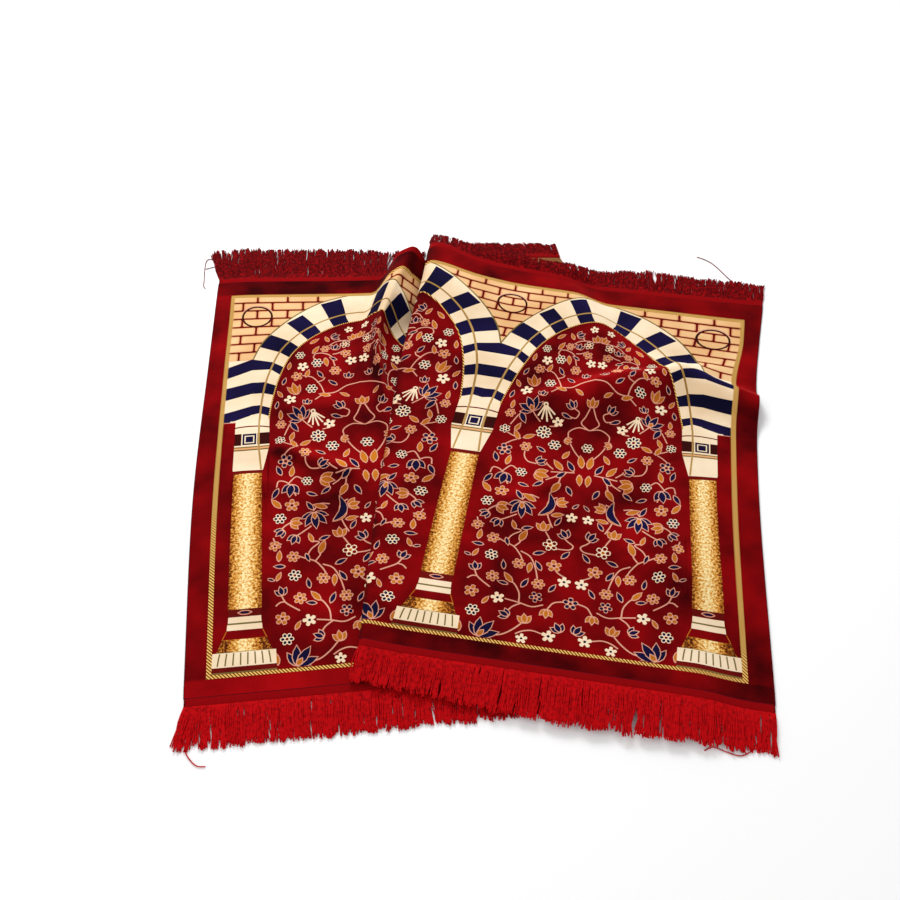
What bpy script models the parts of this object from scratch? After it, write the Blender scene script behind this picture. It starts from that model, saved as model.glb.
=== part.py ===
"""A velour prayer rug with four arches in a row, lying on the floor in one loose Z fold.

The rug is one cloth. Its left part lies pile up, the hidden middle part is turned over on it, and
its right part is turned back again, so that three layers lie one above another near the middle.
A woven tape with a fringe closes the front edge, and another one closes the back edge.
Cloth places are given as u, across from the left edge, and v, back from the front edge.
"""
import math

import bmesh
import bpy
import numpy as np

# ---------------------------------------------------------------------------------------------
# Driving sizes, in metres
# ---------------------------------------------------------------------------------------------
ARCH_COUNT = 4
ARCH_PITCH = 0.4955
SIDE_MARGIN = 0.102
CLOTH_WIDTH = ARCH_COUNT * ARCH_PITCH + 2 * SIDE_MARGIN
CLOTH_DEPTH = 1.076
CLOTH_THICK = 0.0035
REST = CLOTH_THICK / 2

TAPE_WIDTH = 0.016
TAPE_GAP = 0.0005
TAPE_THICK = 0.0030

LOCK_COUNT = 120
LOCK_WIDTH = 0.0085
LOCK_TIP_WIDTH = 0.0050
LOCK_STEPS = 2
LOCK_SHORTEST = 0.90
LOCK_LONGEST = 1.06
LOCK_SWAY = 0.0035
LOCK_SEED = 7
# A lock is left off where the edge is this steep: the share of its width that is level.
LEVEL_ENOUGH = 0.70
# The tape runs on in line with this last stretch of the cloth.
IN_LINE = 0.015

# Where the front left corner of each visible layer would lie, and how far its back leans right.
LOWER_CORNER = (-0.5522, -0.5662)
LOWER_LEAN = -0.099
UPPER_CORNER = (-1.7157, -0.2202)
UPPER_LEAN = 0.163

# The sections of the cloth are given at these distances from its front edge.
STATIONS = (0.0, 0.45, 0.80, 0.96, CLOTH_DEPTH)

# One row for each bend of the cloth from its left edge to its right edge, with five values, one
# for each station, or one value for all of them.
#   layer   the layer whose corner and lean place the row
#   cloth   the row's distance across the cloth itself
#   place   its distance across the layer as it lies, or the share of the way for the middle
#   height  the height of the middle of the cloth's thickness
#   slide   how far the cloth is pulled back or forward along the layer
#   steps   the number of mesh steps from this row to the next
SECTION_COLUMNS = ("name", "layer", "cloth", "place", "height", "slide", "steps")
SECTION_ROWS = (
    ("left edge", "lower", 0.0, (0.005, -0.009, -0.001, 0.003, 0.006), REST, 0.0, 5),
    ("left frame", "lower", 0.070, (0.074, 0.064, 0.066, 0.070, 0.070), REST, 0.0, 6),
    ("ridge foot", "lower", (0.34, 0.34, 0.323, 0.357, 0.396), (0.340, 0.332, 0.301, 0.346, 0.387),
     (REST, REST, 0.002, 0.003, 0.004), (0.0, 0.0, 0.001, -0.019, -0.027), 4),
    ("ridge left", "lower", (0.37, 0.37, 0.379, 0.432, 0.483), (0.370, 0.364, 0.356, 0.397, 0.445),
     (REST, REST, 0.0156, 0.0535, 0.0765), (0.0, 0.0, 0.001, -0.019, -0.027), 3),
    ("ridge crest", "lower", (0.40, 0.40, 0.412, 0.468, 0.502), (0.400, 0.396, 0.375, 0.4205, 0.467),
     (REST, REST, 0.039, 0.072, 0.085), (0.0, 0.0, 0.001, -0.019, -0.027), 4),
    ("ridge right", "lower", (0.43, 0.43, 0.437, 0.484, 0.563), (0.430, 0.428, 0.383, 0.431, 0.503),
     (REST, REST, 0.0165, 0.066, 0.036), (0.0, 0.0, 0.001, -0.019, -0.027), 4),
    ("valley", "lower", (0.47, 0.47, 0.490, 0.600, 0.612), (0.470, 0.470, 0.422, 0.510, 0.535),
     (REST, REST, 0.002, 0.003, 0.004), (0.0, 0.0, 0.001, -0.019, -0.027), 6),
    ("first fold low", "lower", (0.865, 0.893, 0.926, 0.952, 0.920),
     (0.865, 0.893, 0.886, 0.860, 0.832), REST, 0.0, 3),
    ("first fold nose", "lower", (0.872, 0.900, 0.933, 0.959, 0.927),
     (0.8705, 0.8985, 0.8915, 0.8655, 0.8375), (0.0063, 0.0063, 0.0063, 0.0075, 0.009), 0.0, 3),
    ("first fold high", "lower", (0.879, 0.907, 0.940, 0.966, 0.934),
     (0.865, 0.893, 0.886, 0.860, 0.832), (0.011, 0.011, 0.011, 0.013, 0.016), -0.002, 4),
    ("middle right", "middle", (1.02, 1.03, 1.04, 1.06, 1.03), 0.25,
     (0.0105, 0.0105, 0.014, 0.018, 0.019), 0.0, 2),
    ("middle", "middle", (1.17, 1.16, 1.14, 1.15, 1.12), 0.50,
     (0.0105, 0.0105, 0.014, 0.012, 0.010), 0.0, 3),
    ("middle left", "middle", (1.32, 1.29, 1.26, 1.26, 1.24), 0.75,
     (0.0105, 0.0105, 0.016, 0.022, 0.022), 0.0, 4),
    ("second fold low", "upper", (1.470, 1.420, 1.363, 1.345, 1.340),
     (1.488, 1.447, 1.431, 1.438, 1.436), (0.011, 0.011, 0.024, 0.036, 0.034),
     (0.0, 0.0, -0.005, -0.018, -0.040), 3),
    ("second fold nose", "upper", (1.480, 1.430, 1.377, 1.363, 1.360),
     (1.480, 1.438, 1.419, 1.423, 1.418), (0.0165, 0.0175, 0.034, 0.050, 0.050),
     (0.0, 0.0, -0.005, -0.018, -0.040), 3),
    ("second fold high", "upper", (1.490, 1.442, 1.395, 1.385, 1.382),
     (1.488, 1.448, 1.434, 1.440, 1.438), (0.0225, 0.024, 0.044, 0.064, 0.064),
     (0.0, 0.0, -0.005, -0.018, -0.040), 5),
    ("loose back", "upper", (1.560, 1.552, 1.515, 1.500, 1.500), (1.560, 1.560, 1.550, 1.550, 1.550),
     (0.0175, 0.019, 0.034, 0.048, 0.046), (0.0, 0.0, -0.005, -0.025, -0.060), 4),
    ("second post", "upper", (1.645, 1.640, 1.605, 1.593, 1.593), (1.645, 1.648, 1.645, 1.645, 1.645),
     (0.0165, 0.0175, 0.026, 0.036, 0.038), (0.0, 0.0, -0.005, -0.030, -0.067), 6),
    ("drop start", "upper", (2.060, 1.972, 1.870, 1.776, 1.712), (2.062, 1.972, 1.875, 1.806, 1.747),
     (0.0165, 0.0165, 0.022, 0.034, 0.030), (0.0, 0.0, -0.010, -0.032, -0.070), 3),
    ("drop end", "upper", (2.140, 2.060, 1.975, 1.905, 1.843), (2.143, 2.055, 1.971, 1.905, 1.843),
     (0.003, 0.003, 0.003, 0.003, 0.004), (0.0, 0.018, -0.012, -0.032, -0.066), 4),
    ("right frame", "upper", (2.160, 2.115, 2.115, 2.115, 2.115), (2.165, 2.107, 2.110, 2.137, 2.141),
     REST, (0.0, 0.024, -0.020, -0.041, -0.060), 3),
    ("right edge", "upper", CLOTH_WIDTH,
     (CLOTH_WIDTH + 0.010, CLOTH_WIDTH, CLOTH_WIDTH + 0.006, CLOTH_WIDTH + 0.018,
      CLOTH_WIDTH + 0.032), REST, (0.0, 0.024, -0.022, -0.043, -0.057), 0),
)
SECTION = [dict(zip(SECTION_COLUMNS, row)) for row in SECTION_ROWS]
FOLD_OUT = "first fold high"
FOLD_IN = "second fold low"

# The turned-back layer is pulled forward a little: distance from the front edge, and how far.
DRIFT = np.array(((0.0, 0.0), (0.16, -0.010), (0.45, -0.030), (0.62, -0.035), (0.80, -0.033),
                  (0.96, -0.028), (CLOTH_DEPTH, 0.0)))

# Soft ridges in a layer, each from one cloth place to another, and their reach to each side.
CREASE_COLUMNS = ("name", "start", "end", "height", "reach_front", "reach_back")
CREASE_ROWS = (
    ("cross ridge left", (1.720, 0.655), (1.860, 0.719), 0.016, 0.060, 0.035),
    ("cross ridge middle", (1.860, 0.719), (2.045, 0.808), 0.027, 0.075, 0.034),
    ("cross ridge right", (2.045, 0.804), (2.260, 0.700), 0.029, 0.070, 0.034),
    ("lower back crease", (0.180, 0.645), (0.295, 0.650), 0.006, 0.030, 0.032),
    ("lower slant crease", (0.175, 0.535), (0.305, 0.470), 0.009, 0.024, 0.026),
    ("lower front crease", (0.090, 0.468), (0.200, 0.425), 0.004, 0.028, 0.028),
    ("upper slant crease", (1.810, 0.357), (2.060, 0.224), 0.007, 0.045, 0.065),
    ("upper small crease", (1.680, 0.357), (1.775, 0.432), 0.005, 0.025, 0.028),
)
CREASES = [dict(zip(CREASE_COLUMNS, row)) for row in CREASE_ROWS]
CREASE_JOIN = 4

# Mesh rows from front to back: the distance where a stretch ends, and its number of steps.
DEPTH_STEPS = ((0.20, 3), (0.60, 10), (0.80, 8), (0.96, 4), (CLOTH_DEPTH, 4))

# Length of the fringe and how low its tips lie on each layer, from place to place across the cloth.
FRINGE_COLUMNS = ("cloth", "front_length", "back_length", "front_tip", "back_tip")
FRINGE_ROWS = (
    (0.000, 0.076, 0.104, 0.0015, 0.0015),
    (0.340, 0.074, 0.096, 0.0015, 0.0015),
    (0.600, 0.072, 0.070, 0.0015, 0.0015),
    (0.866, 0.064, 0.058, 0.0015, 0.0015),
    (0.874, 0.064, 0.058, 0.0066, 0.0015),
    (0.888, 0.060, 0.058, 0.0066, 0.0015),
    (0.922, 0.060, 0.058, 0.0066, 0.0015),
    (0.938, 0.060, 0.058, 0.0066, 0.0120),
    (1.346, 0.060, 0.058, 0.0066, 0.0120),
    (1.370, 0.060, 0.046, 0.0066, 0.0520),
    (1.466, 0.062, 0.044, 0.0066, 0.0480),
    (1.484, 0.064, 0.044, 0.0125, 0.0480),
    (1.600, 0.068, 0.040, 0.0125, 0.0440),
    (1.660, 0.074, 0.038, 0.0125, 0.0380),
    (1.740, 0.080, 0.050, 0.0125, 0.0280),
    (1.840, 0.084, 0.058, 0.0125, 0.0015),
    (1.940, 0.084, 0.076, 0.0125, 0.0015),
    (2.060, 0.080, 0.066, 0.0125, 0.0015),
    (2.150, 0.076, 0.064, 0.0015, 0.0015),
    (CLOTH_WIDTH, 0.074, 0.056, 0.0015, 0.0015),
)
FRINGE = np.array(FRINGE_ROWS)

RUG_NAME = "prayer_rug"


# ---------------------------------------------------------------------------------------------
# Scene and materials
# ---------------------------------------------------------------------------------------------
def clear_scene():
    """Remove every object that the file starts with."""
    for obj in list(bpy.data.objects):
        bpy.data.objects.remove(obj, do_unlink=True)


def make_material(name, colour, roughness):
    """Return a plain cloth material."""
    material = bpy.data.materials.new(name)
    material.use_nodes = True
    shader = material.node_tree.nodes["Principled BSDF"]
    shader.inputs["Base Color"].default_value = (*colour, 1.0)
    shader.inputs["Roughness"].default_value = roughness
    shader.inputs["Metallic"].default_value = 0.0
    return material


# ---------------------------------------------------------------------------------------------
# Where each place of the cloth lies
# ---------------------------------------------------------------------------------------------
def curve_slopes(at, value):
    """Slopes of a curve that never overshoots its points, which run down the first axis."""
    step = np.diff(at, axis=0)
    rise = np.diff(value, axis=0) / step
    slope = np.zeros_like(value)
    near = 2 * step[1:] + step[:-1]
    far = step[1:] + 2 * step[:-1]
    one_way = rise[1:] * rise[:-1] > 0
    before = np.where(one_way, rise[:-1], 1.0)
    after = np.where(one_way, rise[1:], 1.0)
    slope[1:-1] = np.where(one_way, (near + far) / (near / before + far / after), 0.0)
    slope[0] = rise[0]
    slope[-1] = rise[-1]
    return slope


def curve_value(at, value, where):
    """Value at each `where` of the smooth curve through its own column of `at` and `value`."""
    slope = curve_slopes(at, value)
    low = np.clip((at[1:-1] <= where).sum(axis=0), 0, at.shape[0] - 2)
    column = np.arange(where.size)
    start = at[low, column]
    step = at[low + 1, column] - start
    t = (where - start) / step
    rising = t * t * (3 - 2 * t)
    from_low = value[low, column] * (1 - rising) + step * slope[low, column] * t * (1 - t) ** 2
    from_high = value[low + 1, column] * rising - step * slope[low + 1, column] * t * t * (1 - t)
    return from_low + from_high


def along_depth(distances, values, v):
    """Value at each distance v from the front edge of the curve through a few values."""
    entry = np.broadcast_to(np.asarray(values, dtype=float), (len(distances),))
    at = np.repeat(np.array(distances)[:, None], v.size, axis=1)
    value = np.repeat(entry[:, None], v.size, axis=1)
    return curve_value(at, value, np.clip(v, 0.0, CLOTH_DEPTH))


def layer_plan(corner, lean, across, back):
    """Plan place on a flat layer, from its corner and its lean."""
    x = corner[0] + across * math.cos(lean) + back * math.sin(lean)
    y = corner[1] - across * math.sin(lean) + back * math.cos(lean)
    return x, y


def section_table(v):
    """The rows of the section at each v: their cloth distance, x, y and height."""
    cloth = []
    x_rows = []
    y_rows = []
    heights = []
    drift = along_depth(DRIFT[:, 0], DRIFT[:, 1], v)
    for row in SECTION:
        place = along_depth(STATIONS, row["place"], v)
        back = v + along_depth(STATIONS, row["slide"], v)
        if row["layer"] == "lower":
            x, y = layer_plan(LOWER_CORNER, LOWER_LEAN, place, back)
        elif row["layer"] == "upper":
            x, y = layer_plan(UPPER_CORNER, UPPER_LEAN, place, back + drift)
        else:
            x = place
            y = place
        cloth.append(along_depth(STATIONS, row["cloth"], v))
        x_rows.append(x)
        y_rows.append(y)
        heights.append(along_depth(STATIONS, row["height"], v))
    names = [row["name"] for row in SECTION]
    out = names.index(FOLD_OUT)
    back_in = names.index(FOLD_IN)
    for middle in range(out + 1, back_in):
        share = x_rows[middle]
        x_rows[middle] = x_rows[out] * (1 - share) + x_rows[back_in] * share
        y_rows[middle] = y_rows[out] * (1 - share) + y_rows[back_in] * share
    return np.array(cloth), np.array(x_rows), np.array(y_rows), np.array(heights)


def crease_height(u, v):
    """How far the soft ridges lift each place of the cloth, without adding where two meet."""
    lift = np.zeros_like(u)
    for crease in CREASES:
        u_start, v_start = crease["start"]
        u_end, v_end = crease["end"]
        length = math.hypot(u_end - u_start, v_end - v_start)
        along_u = (u_end - u_start) / length
        along_v = (v_end - v_start) / length
        along = (u - u_start) * along_u + (v - v_start) * along_v
        off = (v - v_start) * along_u - (u - u_start) * along_v
        reach = np.where(off > 0, crease["reach_back"], crease["reach_front"])
        past_end = np.maximum(np.maximum(-along, along - length), 0.0) / crease["reach_front"]
        ridge = crease["height"] * np.exp(-1.5 * ((off / reach) ** 2 + past_end ** 2))
        lift += ridge ** CREASE_JOIN
    return lift ** (1 / CREASE_JOIN)


def cloth_point(u, v):
    """Point in the middle of the cloth's thickness for each cloth place."""
    cloth, x_rows, y_rows, heights = section_table(v)
    across = np.clip(u, cloth[0], cloth[-1])
    x = curve_value(cloth, x_rows, across)
    y = curve_value(cloth, y_rows, across)
    z = curve_value(cloth, heights, across) + crease_height(u, v)
    return np.stack([x, y, z], axis=-1)


# ---------------------------------------------------------------------------------------------
# Meshes
# ---------------------------------------------------------------------------------------------
def depth_rows():
    """Distances from the front edge of the cloth's mesh rows."""
    rows = [0.0]
    for end, steps in DEPTH_STEPS:
        rows.extend(np.linspace(rows[-1], end, steps + 1)[1:])
    return np.array(rows)


def column_places(v):
    """Cloth distance of each mesh column at each v: the columns follow the folds."""
    cloth = section_table(v)[0]
    columns = [cloth[0]]
    for index, row in enumerate(SECTION[:-1]):
        for step in range(1, row["steps"] + 1):
            share = step / row["steps"]
            columns.append(cloth[index] * (1 - share) + cloth[index + 1] * share)
    return np.array(columns)


def sheet_object(name, mesh, thick, material, collection):
    """Make an object of an open sheet and give it its thickness on both sides."""
    obj = bpy.data.objects.new(name, mesh)
    mesh.materials.append(material)
    collection.objects.link(obj)
    solidify = obj.modifiers.new("thickness", "SOLIDIFY")
    solidify.thickness = thick
    solidify.offset = 0.0
    mesh.shade_smooth()
    return obj


def make_cloth(material, collection):
    """The pile cloth: a grid that is moved onto its folds."""
    rows = depth_rows()
    across = column_places(rows)
    down = np.broadcast_to(rows, across.shape)
    points = cloth_point(across.ravel(), down.ravel()).reshape(*across.shape, 3)
    column_count = across.shape[0]
    row_count = across.shape[1]
    bm = bmesh.new()
    bmesh.ops.create_grid(bm, x_segments=column_count - 1, y_segments=row_count - 1, size=0.5)
    bm.verts.ensure_lookup_table()
    for vert in bm.verts:
        column = round((vert.co.x + 0.5) * (column_count - 1))
        row = round((vert.co.y + 0.5) * (row_count - 1))
        vert.co = points[column, row]
    mesh = bpy.data.meshes.new("rug_cloth")
    bm.to_mesh(mesh)
    bm.free()
    return sheet_object("rug_cloth", mesh, CLOTH_THICK, material, collection)


def past_edge(u, v):
    """Point of the cloth, or in line with it for places past its front or back edge."""
    at_edge = np.clip(v, 0.0, CLOTH_DEPTH)
    here = cloth_point(u, at_edge)
    inner = cloth_point(u, np.clip(v, IN_LINE, CLOTH_DEPTH - IN_LINE))
    return here + (here - inner) * (np.abs(v - at_edge) / IN_LINE)[:, None]


def lock_rows(u, v_root, outward, length, tip_height, sway):
    """Left and right points of one flat lock of fringe, from its root to its tip."""
    half = LOCK_WIDTH / 2
    sides = past_edge(np.array([u - half, u + half]), np.full(2, v_root))
    before = cloth_point(np.array([u]), np.array([v_root - outward * TAPE_WIDTH]))[0]
    root = sides.mean(axis=0)
    heading = root - before
    heading[2] = 0.0
    heading /= np.linalg.norm(heading)
    across = sides[1] - sides[0]
    level = across.copy()
    level[2] = 0.0
    level /= np.linalg.norm(level)
    rows = []
    for step in range(1, LOCK_STEPS + 1):
        t = step / LOCK_STEPS
        fall = t * (2 - t)
        centre = root + heading * length * t + level * sway * t * t
        centre[2] = root[2] * (1 - fall) + tip_height * fall
        width = LOCK_WIDTH * (1 - t) + LOCK_TIP_WIDTH * t
        turn = across / LOCK_WIDTH * (1 - fall) + level * fall
        turn *= width / 2 / np.linalg.norm(turn)
        rows.append((centre - turn, centre + turn))
    return rows


def make_fringe(name, side, material, collection):
    """A woven tape along one edge, with its locks standing apart beyond it."""
    outward = -1.0 if side == "front" else 1.0
    edge = 0.0 if side == "front" else CLOTH_DEPTH
    v_near = edge + outward * TAPE_GAP
    v_root = edge + outward * TAPE_WIDTH
    pitch = CLOTH_WIDTH / LOCK_COUNT
    centres = (np.arange(LOCK_COUNT) + 0.5) * pitch
    half = LOCK_WIDTH / 2
    ends = [0.0]
    for centre in centres:
        ends.extend((centre - half, centre + half))
    ends.append(CLOTH_WIDTH)
    ends = np.array(ends)
    near = past_edge(ends, np.full_like(ends, v_near))
    root = past_edge(ends, np.full_like(ends, v_root))
    sink = np.array([0.0, 0.0, (CLOTH_THICK - TAPE_THICK) / 2])
    lengths = np.interp(centres, FRINGE[:, 0], FRINGE[:, FRINGE_COLUMNS.index(side + "_length")])
    tips = np.interp(centres, FRINGE[:, 0], FRINGE[:, FRINGE_COLUMNS.index(side + "_tip")])
    rng = np.random.default_rng(LOCK_SEED)
    bm = bmesh.new()
    near_verts = [bm.verts.new(point - sink) for point in near]
    root_verts = [bm.verts.new(point - sink) for point in root]
    for left in range(len(ends) - 1):
        quad = (near_verts[left], near_verts[left + 1], root_verts[left + 1], root_verts[left])
        bm.faces.new(quad if side == "back" else quad[::-1])
    for lock, centre in enumerate(centres):
        length = lengths[lock] * rng.uniform(LOCK_SHORTEST, LOCK_LONGEST)
        sway = rng.uniform(-LOCK_SWAY, LOCK_SWAY)
        left = 2 * lock + 1
        width_now = root[left + 1] - root[left]
        level_share = math.hypot(width_now[0], width_now[1]) / np.linalg.norm(width_now)
        if level_share < LEVEL_ENOUGH:
            continue
        last = (root_verts[left], root_verts[left + 1])
        for points in lock_rows(centre, v_root, outward, length, tips[lock], sway):
            new = tuple(bm.verts.new(point) for point in points)
            quad = (last[0], last[1], new[1], new[0])
            bm.faces.new(quad if side == "back" else quad[::-1])
            last = new
    mesh = bpy.data.meshes.new(name)
    bm.to_mesh(mesh)
    bm.free()
    return sheet_object(name, mesh, TAPE_THICK, material, collection)


def main():
    clear_scene()
    collection = bpy.data.collections.new(RUG_NAME)
    bpy.context.scene.collection.children.link(collection)
    pile_red = make_material("pile_red", (0.33, 0.004, 0.010), 0.85)
    yarn_red = make_material("yarn_red", (0.43, 0.006, 0.012), 0.80)
    make_cloth(pile_red, collection)
    make_fringe("fringe_front", "front", yarn_red, collection)
    make_fringe("fringe_back", "back", yarn_red, collection)


main()
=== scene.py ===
# %% [markdown]
# # A folded prayer rug
#
# The rug is a wide velour prayer rug with four arches side by side. It lies on the floor in one
# loose Z fold. This lesson loads the plain solids as a fixed frame and then makes the real surface:
# a thin pile cloth whose pattern is cut into its mesh, two fringes of yarn and stitched side edges.

# %% load the frame
import math

import bmesh
import bpy
import numpy as np
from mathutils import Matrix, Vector
from mathutils.geometry import delaunay_2d_cdt


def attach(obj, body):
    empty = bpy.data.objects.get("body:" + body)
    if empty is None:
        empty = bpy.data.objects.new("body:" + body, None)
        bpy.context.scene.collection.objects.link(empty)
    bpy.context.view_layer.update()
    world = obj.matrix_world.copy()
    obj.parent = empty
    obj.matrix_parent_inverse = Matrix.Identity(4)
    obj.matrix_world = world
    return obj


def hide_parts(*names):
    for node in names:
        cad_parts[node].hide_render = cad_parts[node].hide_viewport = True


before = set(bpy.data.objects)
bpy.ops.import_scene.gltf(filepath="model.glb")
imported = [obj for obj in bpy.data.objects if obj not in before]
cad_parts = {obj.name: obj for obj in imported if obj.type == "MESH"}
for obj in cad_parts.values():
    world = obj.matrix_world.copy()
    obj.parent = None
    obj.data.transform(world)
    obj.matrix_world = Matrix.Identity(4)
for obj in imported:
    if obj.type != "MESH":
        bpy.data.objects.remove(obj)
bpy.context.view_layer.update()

# %% [markdown]
# ## Camera, floor and light
#
# The camera looks down at the rug at 50 degrees, as in a photo taken by someone who stands at its
# front edge. The floor is a plain pale sheet. Large soft lamps give the even light of a studio:
# the main one is behind the rug, so the crest of each fold is bright and its near side dark.

# %% camera, floor and light
CAMERA_PLACE = (-0.0967, -1.2941, 1.5258)
CAMERA_TURN = math.radians(40)
CAMERA_LENS = 38.63
CAMERA_REACH = 50.0
SENSOR = 36.0
FLOOR_SIZE = 14.0
FLOOR_DROP = 0.0004
FLOOR_ROUGH = 0.9
WORLD_STRENGTH = 0.60


def table(columns, *rows):
    """The rows of a table, each as its values by the names of the columns."""
    return [dict(zip(columns, row)) for row in rows]


LAMPS = table(
    ("name", "place", "aim", "width", "power"),
    ("back lamp", (-0.7, 2.3, 2.2), (0.0, 0.1, 0.0), 1.3, 70.0),
    ("left lamp", (-2.6, -0.4, 2.4), (0.0, 0.0, 0.0), 1.8, 22.0),
    ("front lamp", (0.9, -2.6, 2.8), (0.0, 0.0, 0.0), 2.2, 10.0))


def linear(hex_colour):
    """A colour written as an sRGB hex value, in the linear numbers that a shader wants."""
    channels = [int(hex_colour[i:i + 2], 16) / 255 for i in (1, 3, 5)]
    return [c / 12.92 if c <= 0.04045 else ((c + 0.055) / 1.055) ** 2.4 for c in channels] + [1.0]


def add_object(name, data, **settings):
    """An object in the scene, with settings such as its place."""
    obj = bpy.data.objects.new(name, data)
    for key, value in settings.items():
        setattr(obj, key, value)
    bpy.context.scene.collection.objects.link(obj)
    return obj


def make_camera():
    data = bpy.data.cameras.new("camera")
    data.sensor_width = SENSOR
    data.lens = CAMERA_LENS
    data.clip_end = CAMERA_REACH
    bpy.context.scene.camera = add_object(
        "camera", data, location=CAMERA_PLACE, rotation_euler=(CAMERA_TURN, 0.0, 0.0))


def make_lamps():
    for lamp in LAMPS:
        data = bpy.data.lights.new(lamp["name"], "AREA")
        data.size = lamp["width"]
        data.energy = lamp["power"]
        toward = Vector(lamp["aim"]) - Vector(lamp["place"])
        add_object(lamp["name"], data, location=lamp["place"],
                   rotation_euler=toward.to_track_quat("-Z", "Y").to_euler())
    world = bpy.data.worlds.new("studio")
    world.use_nodes = True
    background = world.node_tree.nodes["Background"]
    background.inputs["Color"].default_value = (1.0, 1.0, 1.0, 1.0)
    background.inputs["Strength"].default_value = WORLD_STRENGTH
    bpy.context.scene.world = world


def make_floor():
    """A matt white sheet under the rug."""
    bpy.ops.mesh.primitive_plane_add(size=FLOOR_SIZE, location=(0.0, 0.0, -FLOOR_DROP))
    floor = bpy.context.object
    floor.name = "floor"
    paint = bpy.data.materials.new("matt_white_floor")
    paint.use_nodes = True
    shader = paint.node_tree.nodes["Principled BSDF"]
    shader.inputs["Base Color"].default_value = linear("#FDFDFD")
    shader.inputs["Roughness"].default_value = FLOOR_ROUGH
    floor.data.materials.append(paint)


# Colours are shown as they are, so that the white floor reads as white and the reds stay deep.
bpy.context.scene.view_settings.view_transform = "Standard"
make_camera()
make_lamps()
make_floor()
print("camera at", CAMERA_PLACE)

# %% [markdown]
# ## Where each place of the cloth lies
#
# Every point of a cloth has a place on the flat cloth: u across from its left edge and v back from
# its front edge. The fold is a table: one row for each bend that is met on the way from the left
# edge to the right edge, with its height and its place at a few distances from the front. Smooth
# curves that never overshoot join the rows, so the cloth can't dip through the floor or through
# its own layers. The table is the same as that of the plain solid.

# %% the fold as a table
ARCH_COUNT = 4
ARCH_PITCH = 0.4955
SIDE_MARGIN = 0.102
CLOTH_WIDTH = ARCH_COUNT * ARCH_PITCH + 2 * SIDE_MARGIN
CLOTH_DEPTH = 1.076
CLOTH_THICK = 0.0035
REST = CLOTH_THICK / 2

LOWER_CORNER = (-0.5522, -0.5662)
LOWER_LEAN = -0.099
UPPER_CORNER = (-1.7157, -0.2202)
UPPER_LEAN = 0.163
STATIONS = (0.0, 0.45, 0.80, 0.96, CLOTH_DEPTH)

# Values at the stations that several bends share: how far back they lie, and the first fold's place.
RIDGE_SLIDE = (0.0, 0.0, 0.001, -0.019, -0.027)
TURN_SLIDE = (0.0, 0.0, -0.005, -0.018, -0.040)
FIRST_FOLD = (0.865, 0.893, 0.886, 0.860, 0.832)

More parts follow.
